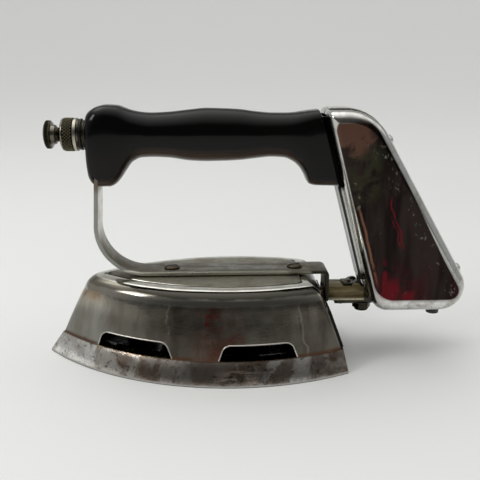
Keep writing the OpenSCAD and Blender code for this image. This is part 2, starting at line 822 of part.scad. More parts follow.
module valve_knob() {
    flutes = 12;
    color("black") difference() {
        translate([stem_x, knob_near_y, gen_z]) rotate([-90, 0, 0]) {
            cylinder(h = 5.5, r = valve_knob_r);
            translate([0, 0, 5.5]) cylinder(h = 1, r1 = valve_knob_r, r2 = valve_knob_r - 1);
        }
        rod_y(stem_x, gen_z, knob_near_y - past, knob_far_y - 1.5, stem_r + run_fit);
        for (i = [1 : flutes]) let (a = i * 360 / flutes)
            rod_y(stem_x + (valve_knob_r + 0.3) * cos(a), gen_z + (valve_knob_r + 0.3) * sin(a),
                  knob_near_y - past, knob_far_y + past, 0.8);
    }
}

// Arc that rounds the corner p1 between p0 and p2
function fillet(p0, p1, p2, r, n) =
    let (
        u = (p0 - p1) / norm(p0 - p1),
        v = (p2 - p1) / norm(p2 - p1),
        h = acos(u * v) / 2,
        c = p1 + (u + v) / norm(u + v) * r / sin(h),
        s = p1 + u * r / tan(h) - c,
        e = p1 + v * r / tan(h) - c,
        a = atan2(s[1], s[0]),
        turn = (atan2(e[1], e[0]) - a + 900) % 360 - 180
    )
    [for (i = [0 : n]) c + r * [cos(a + turn * i / n), sin(a + turn * i / n)]];

// Outline of the tank in the X-Z plane, inset by one width at the front and another
// on the other three sides
function tank_outline(front_inset, inset) =
    let (
        zt = tank_top_z - inset,
        zl = tank_low_z + inset,
        f = front_inset * sqrt(1 + front_slope * front_slope),
        g = inset * sqrt(1 + rear_slope * rear_slope),
        a = [tank_face_x(zt) + f, zt],
        b = [tank_rear_x(zt) - g, zt],
        c = [tank_rear_x(zl) - g, zl],
        d = [tank_face_x(zl) + f, zl]
    )
    concat(
        fillet(d, a, b, max(lip_r - front_inset, 0.6), 3),
        fillet(a, b, c, top_bend_r - inset, 10),
        fillet(b, c, d, heel_bend_r - inset, 9),
        fillet(c, d, a, toe_bend_r - inset, 7)
    );

// One skin of a tank half: a flat side with a round shoulder, open at the middle
module tank_skin(wall, open_y) {
    r = tank_shoulder_r - wall;
    steps = 5;
    side = [for (i = [0 : steps]) let (a = 90 - 90 * i / steps)
        [wall + (front_shoulder - wall) * (1 - cos(a)), wall + r * (1 - cos(a)),
         tank_shoulder_r - tank_half_w - r * sin(a)]];
    loft([for (p = concat(side, [[wall, wall, open_y]]))
        [for (q = tank_outline(p[0], p[1])) [q[0], p[2], q[1]]]]);
}

outlet_r = 3;
collar_r = 6;

module tank_half() {
    color("silver") difference() {
        tank_skin(0, 0);
        tank_skin(tank_wall, past);
        rod_x(tank_front_x - past, barrel_end_x, barrel_r + run_fit, pump_z);
        rod_x(tank_joint_x, filler_x - collar_r, outlet_r + run_fit, gen_z);
        translate([filler_x, 0, tank_low_z - past]) cylinder(h = 4, r = collar_r + run_fit);
    }
}

module tank_near_half() {
    tank_half();
}

module tank_far_half() {
    mirror([0, 1, 0]) tank_half();
}

// Where the top of the tank starts to bend down to the rear face
top_turn = 90 - atan(rear_slope);
top_flat_end_x = tank_front_x + tank_top_len - top_bend_r * tan(top_turn / 2);

module tank_band() {
    centre = [top_flat_end_x, tank_top_z - top_bend_r];
    low_a = 37;
    front = tank_front_x + lip_r;
    in_r = top_bend_r + run_fit;
    color("silver") extrude_y(2 * band_half_w) polygon(concat(
        [[front, tank_top_z + run_fit], [front, tank_top_z + band_t]],
        arc(centre, top_bend_r + band_t, 90, low_a, 10),
        arc(centre, in_r, low_a, 90, 10),
        [centre + [0, in_r]]
    ));
}

module tank_feet() {
    ball_r = (foot_r * foot_r + foot_h * foot_h) / (2 * foot_h);
    start = top_bend_r * tan(top_turn / 2);
    run = (tank_top_z - tank_low_z) * sqrt(1 + rear_slope * rear_slope);
    heel_run = heel_bend_r * tan(90 - (180 - 90 - atan(rear_slope)) / 2);
    color("silver") for (s = [start + 4, run - heel_run - 3.6]) for (y = [-foot_y, foot_y])
        translate([tank_front_x + tank_top_len + s * sin(atan(rear_slope)), y,
                   tank_top_z - s * cos(atan(rear_slope))])
            rotate([0, top_turn, 0]) intersection() {
                translate([0, 0, foot_h - ball_r]) sphere(r = ball_r);
                cylinder(h = 2 * foot_h, r = foot_r);
            }
}

module tank_outlet() {
    color("gold") difference() {
        rod_x(tank_joint_x - 1 + run_fit, tank_joint_x + 9, outlet_r, gen_z);
        rod_x(tank_joint_x - 2, tank_joint_x + 10, 1.3, gen_z);
    }
}

thread_r = 3;
plug_top_r = 4.7;
plug_gasket_t = 0.8;
collar_drop = 0.8;

module filler_collar() {
    color("gold") translate([filler_x, 0, tank_low_z - collar_drop]) difference() {
        cylinder(h = 4.4, r = collar_r);
        translate([0, 0, -past]) cylinder(h = 5 + past, r = thread_r + run_fit);
    }
}

module filler_gasket() {
    color("saddlebrown")
        translate([filler_x, 0, tank_low_z - collar_drop - plug_gasket_t]) difference() {
            cylinder(h = plug_gasket_t, r = plug_top_r);
            translate([0, 0, -past])
                cylinder(h = plug_gasket_t + 2 * past, r = thread_r + run_fit);
        }
}

module filler_plug() {
    head_h = 6;
    top = tank_low_z - collar_drop - plug_gasket_t;
    color("black") translate([filler_x, 0, 0]) {
        translate([0, 0, top - head_h]) cylinder(h = head_h, r1 = 4, r2 = plug_top_r);
        translate([0, 0, top - tiny]) cylinder(h = 5, r = thread_r);
    }
}

// Stations of the handle along X: top and underside from the pump's axis, half width and
// squareness
grip_low = grip_above - grip_h;
arch_low = -21;
block_half_w = grip_half_w - 0.2;
handle_stations = [
    [handle_front_x, 7, arch_low, 8.5, 3],
    [handle_front_x + 0.8, 11.5, 4.1 - foot_below, 10.5, 3],
    [handle_front_x + 2.9, 14, 1.4 - foot_below, 12, 3.2],
    [handle_front_x + 7.4, hump_above - 0.9, -foot_below, 13, 3.4],
    [handle_front_x + 12.4, hump_above, -foot_below, block_half_w, 3.4],
    [handle_front_x + 15.4, hump_above - 0.1, 1 - foot_below, block_half_w, 3.3],
    [handle_front_x + 19.4, hump_above - 0.5, 4.8 - foot_below, block_half_w, 3],
    [-38.5, hump_above - 1.7, arch_low, 13, 2.7],
    [-34.5, grip_above + 1.8, grip_low - 2.2, 12.8, 2.4],
    [-29, grip_above + 0.7, grip_low + 0.2, 12.6, 2.2],
    [-23, grip_above + 0.2, grip_low + 0.4, 12.6, 2.1],
    [-13.7, grip_above + 0.6, grip_low, 12.8, 2.1],
    [0, grip_above + 2, grip_low - 1.9, grip_half_w, 2.1],
    [9, grip_above + 2.8, grip_low - 2.3, grip_half_w + 0.3, 2.1],
    [18, grip_above + 2.6, grip_low - 2.2, grip_half_w + 0.3, 2.1],
    [29, grip_above + 2, grip_low - 1.7, grip_half_w - 0.1, 2.1],
    [38, grip_above + 0.8, grip_low - 0.7, 12.9, 2.1],
    [47.5, grip_above, grip_low + 0.2, 12.6, 2.2],
    [55, grip_above - 0.1, grip_low - 0.2, 12.6, 2.3],
    [60.4, grip_above + 0.1, grip_low - 2.4, 12.8, 2.5],
    [64, grip_above + 0.6, grip_low - 5.4, 13, 2.8],
    [67.2, grip_above + 1, 6.6 - foot_below, block_half_w, 3.2],
    [70, grip_above + 1.4, 1.2 - foot_below, grip_half_w, 3.6],
    [74, grip_above + 1.8, 0.2 - foot_below, grip_half_w, 4],
    [92, grip_above + 3.6, -0.4 - foot_below, grip_half_w, 4]
];

// Rounded square ring across the handle
function grip_ring(s) =
    let (mid = (s[1] + s[2]) / 2, half_h = (s[1] - s[2]) / 2, power = 2 / s[4], n = 28)
    [for (i = [0 : n - 1]) let (a = 360 * i / n, c = cos(a), d = sin(a))
        [s[0], s[3] * sign(c) * pow(abs(c), power),
         pump_z + mid + half_h * sign(d) * pow(abs(d), power)]];

module handle() {
    slot_half_w = strap_eye_r + side_gap;
    r = front_bend_r;
    color("black") difference() {
        loft([for (s = handle_stations) grip_ring(s)]);
        slope_prism(handle_foot_z - block_half_w, pump_z + hump_above + past, -handle_gap,
                    half_w, half_w);
        rod_x(handle_front_x - past, heel_x, barrel_r + hole_fit, pump_z);
        translate([front_bend_x, 0, bar_z + r]) rotate([0, strap_lean, 0]) {
            block([-r - hole_fit, -slot_half_w, 0], [bar_t - r + hole_fit, slot_half_w, strap_up()]);
            translate([-r - hole_fit, 0, strap_up()]) rotate([0, 90, 0])
                cylinder(h = bar_t + 2 * hole_fit, r = slot_half_w);
        }
    }
}

module pump_barrel() {
    seat_r = 1.5;
    color("darkgoldenrod") difference() {
        rod_x(barrel_front_x, barrel_end_x, barrel_r, pump_z);
        rod_x(barrel_front_x - past, barrel_end_x - end_wall_t, barrel_bore_r, pump_z);
        rod_x(barrel_end_x - 2 * end_wall_t, barrel_end_x + past, seat_r, pump_z);
    }
}

module lock_ring() {
    color("dimgray") difference() {
        rod_x(cap_rear_x + side_gap, cap_rear_x + side_gap + lock_len, cap_r - 0.5, pump_z);
        rod_x(cap_rear_x - past, cap_rear_x + 5, barrel_r, pump_z);
    }
}

guide_sleeve = 8;

module rod_guide() {
    color("goldenrod") difference() {
        union() {
            rod_x(cap_front_x + cap_wall_t, barrel_front_x - tiny, barrel_r, pump_z);
            rod_x(barrel_front_x - 2 * tiny, barrel_front_x + guide_sleeve, 3.5, pump_z);
        }
        rod_x(cap_front_x, barrel_front_x + guide_sleeve + past, rod_r + run_fit, pump_z);
    }
}

module pump_cap() {
    knurl_len = cap_len - 2.3;
    grooves = 40;
    groove_r = 0.45;
    color("darkgoldenrod") difference() {
        union() {
            rod_x(cap_front_x + 1, cap_front_x + knurl_len, cap_r, pump_z);
            translate([cap_front_x, 0, pump_z]) rotate([0, 90, 0])
                cylinder(h = 1 + tiny, r1 = cap_r - 1, r2 = cap_r);
            rod_x(cap_front_x + knurl_len - tiny, cap_rear_x, cap_r - 0.2, pump_z);
        }
        rod_x(cap_front_x + cap_wall_t, cap_rear_x + past, barrel_r + run_fit, pump_z);
        rod_x(cap_front_x - past, cap_rear_x, rod_r + 2 * hole_fit, pump_z);
        for (i = [1 : grooves]) let (a = i * 360 / grooves)
            translate([0, (cap_r + 0.1) * cos(a), 0])
                rod_x(cap_front_x + 1.4, cap_front_x + knurl_len - 1, groove_r,
                      pump_z + (cap_r + 0.1) * sin(a), $fn = 13);
    }
}

knob_front_x = knob_base_x - 9.8;

module pump_rod() {
    color("silver") rod_x(knob_front_x + 3, barrel_end_x - end_wall_t - 1.8, rod_r, pump_z);
}

module pump_knob() {
    rim = 4.1;
    hub = rim + 2.5;
    cone = hub + 2.6;
    neck_r = 2.9;
    length = knob_base_x - knob_front_x;
    color("silver") difference() {
        translate([knob_front_x, 0, pump_z]) rotate([0, 90, 0]) rotate_extrude() polygon([
            [0, 0], [knob_r - 1.6, 0], [knob_r - 0.4, 0.5], [knob_r, 1.2], [knob_r, rim - 0.6],
            [knob_r - 0.6, rim], [knob_r - 1.9, rim], [knob_r - 2.8, hub], [knob_r - 3, hub],
            [neck_r, cone], [neck_r, length], [0, length]
        ]);
        rod_x(knob_front_x + 3, knob_base_x + past, rod_r, pump_z);
    }
}

// Pieces on the rear end of the rod
module piston_cup() {
    cup_wall = 1.3;
    base_t = 1.5;
    color("saddlebrown") difference() {
        rod_x(piston_x, piston_x + 4.4, barrel_bore_r - run_fit, pump_z);
        rod_x(piston_x + base_t, piston_x + 5, barrel_bore_r - run_fit - cup_wall, pump_z);
        rod_x(piston_x - past, piston_x + 5, rod_r, pump_z);
    }
}

module piston_backing() {
    color("goldenrod") difference() {
        rod_x(piston_x - 1.4, piston_x - tiny, barrel_bore_r - 0.5, pump_z);
        rod_x(piston_x - 2, piston_x + past, rod_r, pump_z);
    }
}

module piston_nut() {
    color("goldenrod") difference() {
        translate([piston_x + 1.5 + tiny, 0, pump_z]) rotate([0, 90, 0])
            cylinder(h = 2.2, r = 3.9, $fn = 6);
        rod_x(piston_x, piston_x + 5, rod_r, pump_z);
    }
}

ball_r = 2;
ball_travel = 1.5;
cage_wall_t = 1.4;
ball_x = barrel_end_x + sqrt(ball_r * ball_r - 1.5 * 1.5) - 0;
cage_end_x = ball_x + ball_r + ball_travel + cage_wall_t + 0.1;

module check_cage() {
    color("gold") difference() {
        rod_x(barrel_end_x + tiny, cage_end_x, 4.5, pump_z);
        rod_x(barrel_end_x - past, cage_end_x - cage_wall_t, ball_r + 0.3, pump_z);
        rod_x(barrel_end_x, cage_end_x + past, 1, pump_z);
    }
}

module check_ball() {
    color("lightgray") translate([ball_x + run_fit, 0, pump_z]) sphere(r = ball_r);
}

sole_plate();
body_shell();
heel_plate();
burner();
burner_screws();
mixing_tube();
frame_bar();
bar_spacers();
frame_screws();
rear_arm();
arm_rivets();
rear_support();
support_rivet();
valve_body();
generator_tube();
gas_jet();
strainer();
strainer_gasket();
strainer_cap();
clamp_screw();
packing_nut();
valve_needle();
valve_stem();
valve_knob();
tank_near_half();
tank_far_half();
tank_band();
tank_feet();
tank_outlet();
filler_collar();
filler_gasket();
filler_plug();
handle();
pump_barrel();
lock_ring();
rod_guide();
pump_cap();
pump_rod();
pump_knob();
piston_cup();
piston_backing();
piston_nut();
check_cage();
check_ball();
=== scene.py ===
import json
import math

import bmesh
import bpy
import numpy as np
from mathutils import Matrix, Vector


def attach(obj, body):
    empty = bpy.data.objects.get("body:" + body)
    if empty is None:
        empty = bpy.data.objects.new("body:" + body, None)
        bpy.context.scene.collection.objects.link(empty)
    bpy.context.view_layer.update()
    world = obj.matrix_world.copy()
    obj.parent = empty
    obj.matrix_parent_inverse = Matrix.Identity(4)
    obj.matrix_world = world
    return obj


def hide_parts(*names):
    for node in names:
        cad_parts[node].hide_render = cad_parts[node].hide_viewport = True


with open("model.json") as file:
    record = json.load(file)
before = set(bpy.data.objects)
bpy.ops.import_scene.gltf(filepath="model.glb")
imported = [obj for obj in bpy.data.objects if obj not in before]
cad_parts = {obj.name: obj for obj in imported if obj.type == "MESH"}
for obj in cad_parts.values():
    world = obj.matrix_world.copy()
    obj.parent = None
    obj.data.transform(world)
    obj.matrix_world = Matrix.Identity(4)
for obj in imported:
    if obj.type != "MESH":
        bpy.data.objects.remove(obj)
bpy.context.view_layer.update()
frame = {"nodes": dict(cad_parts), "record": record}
BODY_OF = {n: b for b, ns in frame["record"]["behaviour"]["bodies"].items() for n in ns}

# Sizes shared with the CAD, in metres
TOP_Z, LOW_Z, FRONT_X, TOP_LEN, FS, RS = 0.1536, 0.031, 0.0778, 0.0282, 0.275, 0.596
SOLE_LEN, SOLE_W, WIDEST_X, SOLE_T = 0.186, 0.107, 0.025, 0.0135
HALF_W = SOLE_W / 2
RUN = WIDEST_X + SOLE_LEN / 2
SIDE_R = (RUN * RUN + HALF_W * HALF_W) / (2 * HALF_W)
SIDE_C = SIDE_R - HALF_W
HEEL_X = SOLE_LEN / 2
SHELL_BASE, HEEL_BASE, WALL_LEAN, HEEL_WALL_LEAN = 0.0065, 0.0035, 0.22, 0.37
DECK_H, SHOULDER_R, CORNER_R = 0.0524, 0.010, 0.004
NOSE_LOW_R, NOSE_HIGH_R = 0.0016, 0.012
FRONT_WINDOW_X, REAR_WINDOW_X = -0.0354, 0.0382
SHEET_T = 0.001
PUMP_Z = 0.139
CAP_FRONT, CAP_REAR, CAP_R, BARREL_R = -0.0753, -0.0649, 0.0098, 0.0081
KNOB_BASE, KNOB_FRONT, KNOB_R, KNOB_RIM = -0.0756, -0.0854, 0.0083, 0.0041
START_Z = DECK_H - SHOULDER_R * (1 - math.sin(math.atan(WALL_LEAN)))
CREASE_IN = 0.0022


# Camera
cam_data = bpy.data.cameras.new("camera")
cam_data.sensor_width = 36.0
cam_data.lens = 48.0
cam_data.clip_start = 0.01
cam = bpy.data.objects.new("camera", cam_data)
bpy.context.scene.collection.objects.link(cam)
cam.location = (0.01573, -0.38193, 0.18642)
cam.rotation_euler = (math.radians(90 - 16.504), 0.0, math.radians(-2.0))
bpy.context.scene.camera = cam
bpy.context.scene.view_settings.view_transform = "Standard"


# Mesh helpers
def link(name, mesh):
    obj = bpy.data.objects.new(name, mesh)
    bpy.context.scene.collection.objects.link(obj)
    return obj


def smooth(mesh, angle=35.0):
    """Smooth faces, with sharp edges kept above an angle."""
    bm = bmesh.new()
    bm.from_mesh(mesh)
    limit = math.radians(angle)
    for f in bm.faces:
        f.smooth = True
    for e in bm.edges:
        e.smooth = len(e.link_faces) == 2 and e.calc_face_angle(0.0) < limit
    bm.to_mesh(mesh)
    bm.free()


def from_rings(name, rings, caps=(True, True), closed=False, angle=35.0):
    """A skin through rings with the same number of points."""
    n = len(rings[0])
    verts = [tuple(p) for ring in rings for p in ring]
    m = len(rings)
    faces = []
    for k in range(m if closed else m - 1):
        k2 = (k + 1) % m
        for i in range(n):
            j = (i + 1) % n
            faces.append((k * n + i, k * n + j, k2 * n + j, k2 * n + i))
    if caps[0] and not closed:
        faces.append(tuple(range(n - 1, -1, -1)))
    if caps[1] and not closed:
        faces.append(tuple((m - 1) * n + i for i in range(n)))
    mesh = bpy.data.meshes.new(name)
    mesh.from_pydata(verts, [], faces)
    bm = bmesh.new()
    bm.from_mesh(mesh)
    bmesh.ops.remove_doubles(bm, verts=bm.verts, dist=1e-6)
    bmesh.ops.recalc_face_normals(bm, faces=bm.faces)
    bm.to_mesh(mesh)
    bm.free()
    smooth(mesh, angle)
    return link(name, mesh)


def revolve(name, profile, centre, axis="X", steps=96, angle=35.0):
    """A turned piece: profile points are (along, radius)."""
    rings = []
    for along, r in profile:
        r = max(r, 1e-5)
        ring = []
        for i in range(steps):
            a = 2 * math.pi * i / steps
            c, s = r * math.cos(a), r * math.sin(a)
            if axis == "X":
                ring.append((centre[0] + along, centre[1] + c, centre[2] + s))
            elif axis == "Y":
                ring.append((centre[0] + c, centre[1] + along, centre[2] + s))
            else:
                ring.append((centre[0] + c, centre[1] + s, centre[2] + along))
        rings.append(ring)
    return from_rings(name, rings, (profile[0][1] > 1e-4, profile[-1][1] > 1e-4), False, angle)


def boolean(obj, cutter, mode="DIFFERENCE"):
    mod = obj.modifiers.new("cut", "BOOLEAN")
    mod.operation = mode
    mod.solver = "EXACT"
    mod.object = cutter
    deps = bpy.context.evaluated_depsgraph_get()
    mesh = bpy.data.meshes.new_from_object(obj.evaluated_get(deps))
    obj.modifiers.clear()
    obj.data = mesh
    bpy.data.objects.remove(cutter)


def refine(node, width, name=None, segments=2, angle=32.0):
    """A copy of a CAD node with small rounded edges, which stands for it."""
    src = frame["nodes"][node]
    bm = bmesh.new()
    bm.from_mesh(src.data)
    bmesh.ops.remove_doubles(bm, verts=bm.verts, dist=2e-6)
    bmesh.ops.dissolve_limit(bm, angle_limit=math.radians(0.6), verts=bm.verts, edges=bm.edges)
    limit = math.radians(angle)
    sharp = [e for e in bm.edges if len(e.link_faces) == 2 and e.calc_face_angle(0.0) > limit]
    if width > 0 and sharp:
        bmesh.ops.bevel(bm, geom=sharp, offset=width, offset_type="OFFSET", segments=segments,
                        profile=0.5, affect="EDGES", clamp_overlap=True)
    mesh = bpy.data.meshes.new(name or node + "_form")
    bm.to_mesh(mesh)
    bm.free()
    smooth(mesh, 40.0)
    return dress(link(name or node + "_form", mesh), node)


def dress(obj, node, *more):
    """A piece that rides with a CAD node's body and stands for it."""
    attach(obj, BODY_OF[node])
    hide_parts(node, *more)
    return obj


def extra(obj, node):
    """A detail that rides with a CAD node's body."""
    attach(obj, BODY_OF[node])
    return obj


def paint(obj, mat):
    obj.data.materials.clear()
    obj.data.materials.append(mat)
    return obj


# Material helpers
class Nodes:
    def __init__(self, name):
        self.mat = bpy.data.materials.new(name)
        self.mat.use_nodes = True
        self.tree = self.mat.node_tree
        self.bsdf = self.tree.nodes["Principled BSDF"]
        self.coord = self.tree.nodes.new("ShaderNodeTexCoord")

    def add(self, kind, **values):
        node = self.tree.nodes.new(kind)
        for key, value in values.items():
            setattr(node, key, value)
        return node

    def wire(self, a, b):
        self.tree.links.new(a, b)

    def noise(self, scale, detail=4.0, rough=0.55, stretch=(1, 1, 1), turn=(0, 0, 0), seed=0.0,
              distort=0.0):
        mapping = self.add("ShaderNodeMapping")
        mapping.inputs["Scale"].default_value = stretch
        mapping.inputs["Rotation"].default_value = turn
        mapping.inputs["Location"].default_value = (seed, seed * 0.7, seed * 1.3)
        self.wire(self.coord.outputs["Object"], mapping.inputs["Vector"])
        node = self.add("ShaderNodeTexNoise")
        node.inputs["Scale"].default_value = scale
        node.inputs["Detail"].default_value = detail
        node.inputs["Roughness"].default_value = rough
        node.inputs["Distortion"].default_value = distort
        self.wire(mapping.outputs["Vector"], node.inputs["Vector"])
        return node.outputs["Fac"]

    def band(self, value, low, high, out_low=0.0, out_high=1.0):
        node = self.add("ShaderNodeMapRange")
        node.interpolation_type = "SMOOTHSTEP"
        node.inputs["From Min"].default_value = low
        node.inputs["From Max"].default_value = high
        node.inputs["To Min"].default_value = out_low
        node.inputs["To Max"].default_value = out_high
        self.wire(value, node.inputs["Value"])
        return node.outputs["Result"]

    def math(self, op, a, b=None):
        node = self.add("ShaderNodeMath", operation=op)
        for k, v in enumerate((a, b)):
            if v is None:
                continue
            if isinstance(v, (int, float)):
                node.inputs[k].default_value = v
            else:
                self.wire(v, node.inputs[k])
        return node.outputs[0]

    def mix(self, fac, a, b):
        node = self.add("ShaderNodeMix", data_type="RGBA")
        for key, v in ((0, fac), (6, a), (7, b)):
            if isinstance(v, (tuple, list)):
                node.inputs[key].default_value = (*v, 1.0)
            elif isinstance(v, (int, float)):
                node.inputs[key].default_value = v
            else:
                self.wire(v, node.inputs[key])
        return node.outputs[2]

    def axis(self, which):
        node = self.add("ShaderNodeSeparateXYZ")
        self.wire(self.coord.outputs["Object"], node.inputs[0])
        return node.outputs[which]

    def bump(self, height, strength, distance, before=None):
        node = self.add("ShaderNodeBump")
        node.inputs["Strength"].default_value = strength
        node.inputs["Distance"].default_value = distance
        self.wire(height, node.inputs["Height"])
        if before is not None:
            self.wire(before, node.inputs["Normal"])
        return node.outputs["Normal"]

    def within(self, value, centre, wide, soft):
        """1 near a value, fading to 0 outside."""
        gap = self.math("ABSOLUTE", self.math("ADD", value, -centre))
        return self.band(gap, wide + soft, wide)

    def both(self, *values):
        out = values[0]
        for v in values[1:]:
            out = self.math("MULTIPLY", out, v)
        return out

    def edge(self, low=0.52, high=0.6):
        geo = self.add("ShaderNodeNewGeometry")
        return self.band(geo.outputs["Pointiness"], low, high)

    def finish(self, color=None, rough=None, normal=None, metallic=1.0, **sockets):
        if color is not None:
            if isinstance(color, (tuple, list)):
                self.bsdf.inputs["Base Color"].default_value = (*color, 1.0)
            else:
                self.wire(color, self.bsdf.inputs["Base Color"])
        if rough is not None:
            if isinstance(rough, (int, float)):
                self.bsdf.inputs["Roughness"].default_value = rough
            else:
                self.wire(rough, self.bsdf.inputs["Roughness"])
        if normal is not None:
            self.wire(normal, self.bsdf.inputs["Normal"])
        self.bsdf.inputs["Metallic"].default_value = metallic
        for key, value in sockets.items():
            self.bsdf.inputs[key.replace("_", " ")].default_value = value
        return self.mat


def worn_metal(name, base, stain, dark, rough=(0.12, 0.4), blotch=28.0, stain_from=(0.48, 0.66),
               dark_from=(0.6, 0.72), grain=(1, 1, 1), pits=0.25, dent=0.0004, seed=0.0):
    n = Nodes(name)
    big = n.noise(blotch, 5, 0.6, grain, seed=seed, distort=0.6)
    mid = n.noise(blotch * 3.1, 6, 0.65, grain, seed=seed + 3.3)
    fine = n.noise(900.0, 3, 0.6, seed=seed + 1.7)
    scratch = n.noise(160.0, 3, 0.7, (0.12, 1, 1.6), (0, 0.25, 0.1), seed=seed + 5.1)
    stain_mask = n.band(n.math("MULTIPLY", n.math("ADD", big, mid), 0.5), *stain_from)
    dark_mask = n.band(n.math("ADD", n.math("MULTIPLY", big, 0.35),
                              n.math("MULTIPLY", mid, 0.65)), *dark_from)
    pit_mask = n.math("MULTIPLY", n.band(fine, 0.66, 0.74), pits)
    color = n.mix(stain_mask, base, stain)
    color = n.mix(n.math("MULTIPLY", dark_mask, 0.75), color, dark)
    color = n.mix(pit_mask, color, dark)
    edge = n.edge()
    color = n.mix(n.math("MULTIPLY", edge, 0.45), color, [min(1.0, c * 1.35 + 0.06) for c in base])
    spread = n.math("ADD", n.math("MULTIPLY", mid, 0.6), n.math("MULTIPLY", scratch, 0.4))
    roughness = n.band(spread, 0.3, 0.7, rough[0], rough[1])
    normal = n.bump(n.noise(38.0, 2, 0.4, seed=seed + 8), 0.25, dent)
    normal = n.bump(scratch, 0.05, 0.0002, normal)
    normal = n.bump(fine, 0.10, 0.00012, normal)
    return n.finish(color, roughness, normal)


# Materials
def shell_material():
    n = Nodes("shell_nickel_look")
    x, y, z = n.axis(0), n.axis(1), n.axis(2)
    big = n.noise(20.0, 5, 0.6, (1, 1, 0.7), distort=0.8, seed=2.0)
    streak = n.noise(34.0, 4, 0.6, (1.2, 1.2, 0.25), (0, 0.12, 0), seed=4.0)
    mid = n.noise(80.0, 6, 0.65, seed=9.0)
    spot = n.noise(210.0, 4, 0.6, seed=11.0)
    fine = n.noise(1000.0, 3, 0.6, seed=1.0)
    nickel = n.mix(n.band(streak, 0.42, 0.62), (0.37, 0.365, 0.33), (0.26, 0.24, 0.20))
    painted_dark_reflection_tone = n.mix(n.band(streak, 0.40, 0.62), (0.20, 0.185, 0.155), (0.125, 0.11, 0.09))
    # The nose is grey nickel; the sides behind it are painted darker brown, a painted dark reflection of
    # the room in front
    edge_x = n.math("ADD", x, n.band(big, 0.3, 0.7, -0.010, 0.010))
    color = n.mix(n.band(edge_x, -0.058, -0.038), nickel, painted_dark_reflection_tone)
    brown = n.both(n.band(x, -0.048, -0.062), n.band(z, 0.034, 0.044), n.band(mid, 0.36, 0.58))
    color = n.mix(n.math("MULTIPLY", brown, 0.85), color, (0.27, 0.17, 0.08))
    # Tall dark bands, and a painted brownish red reflection left of the middle, with red spots in it
    tall = n.noise(75.0, 4, 0.6, (1, 1, 0.06), (0, 0.10, 0), seed=21.0)
    color = n.mix(n.both(n.band(tall, 0.52, 0.66), n.band(x, -0.062, -0.030), 0.55), color,
                  (0.065, 0.055, 0.045))
    middle = n.math("MULTIPLY", n.band(x, -0.004, 0.010), n.band(x, 0.036, 0.022))
    middle = n.math("MULTIPLY", middle, n.band(z, 0.050, 0.042))
    color = n.mix(n.math("MULTIPLY", middle, n.band(big, 0.35, 0.6)), color, (0.12, 0.055, 0.040))
    color = n.mix(n.math("MULTIPLY", middle, n.band(spot, 0.58, 0.68)), color, (0.24, 0.020, 0.018))
    # Painted pale reflection lines down the wall
    for x0, lean, seed in ((-0.0165, 0.14, 3.0), (0.0663, -0.18, 6.0)):
        wobble = n.band(n.noise(90.0, 2, 0.5, (0.02, 0.02, 1), seed=seed), 0.2, 0.8, -0.0022, 0.0022)
        line = n.math("ADD", n.math("ADD", x, wobble), -x0)
        line = n.math("ADD", line, n.math("MULTIPLY", n.math("ADD", z, -0.021), -lean))
        painted_reflection_line = n.band(n.math("ABSOLUTE", line), 0.0009, 0.0003)
        painted_reflection_line = n.math("MULTIPLY", painted_reflection_line, n.band(mid, 0.38, 0.5))
        color = n.mix(n.math("MULTIPLY", painted_reflection_line, 0.55), color, (0.34, 0.32, 0.27))
    color = n.mix(n.math("MULTIPLY", n.band(mid, 0.62, 0.74), 0.7), color, (0.055, 0.043, 0.036))
    # Painted shade darker towards the foot, painted light on the bend below the shoulder, and painted
    # shade on the shoulder just above the bend
    wander = n.math("ADD", z, n.band(mid, 0.3, 0.7, -0.0003, 0.0003))
    color = n.mix(n.band(z, 0.040, 0.030, 0.0, 0.42), color, (0.0, 0.0, 0.0))
    painted_bend_light = n.both(n.band(wander, 0.0436, 0.0452), n.band(wander, 0.0492, 0.0474), 0.75)
    color = n.mix(painted_bend_light, color, (0.36, 0.345, 0.30))
    painted_shoulder_shade = n.mix(n.band(x, -0.050, -0.030), (0.22, 0.205, 0.165), (0.050, 0.046, 0.039))
    color = n.mix(n.band(wander, 0.0476, 0.0490), color, painted_shoulder_shade)
    # Painted highlight on the shoulder, and rust along the foot
    up = n.band(n.math("ADD", z, n.band(mid, 0.3, 0.7, -0.00010, 0.00010)), 0.0514, 0.0519)
    painted_shoulder_highlight = n.mix(n.band(mid, 0.40, 0.62), (0.82, 0.81, 0.75), (0.64, 0.62, 0.55))
    color = n.mix(n.math("MULTIPLY", up, n.band(big, 0.25, 0.45, 0.75, 1.0)), color, painted_shoulder_highlight)
    foot = n.math("MULTIPLY", n.band(z, 0.0162, 0.0138), n.band(mid, 0.32, 0.52))
    color = n.mix(foot, color, (0.075, 0.038, 0.020))
    color = n.mix(n.math("MULTIPLY", n.band(fine, 0.66, 0.74), 0.3), color, (0.03, 0.024, 0.02))
    rough = n.band(mid, 0.3, 0.75, 0.05, 0.16)
    normal = n.bump(n.noise(24.0, 2, 0.4, seed=7), 0.30, 0.0009)
    normal = n.bump(n.noise(200.0, 3, 0.7, (0.15, 1, 1.4), seed=5), 0.04, 0.0002, normal)
    normal = n.bump(fine, 0.08, 0.0001, normal)
    return n.finish(color, rough, normal)


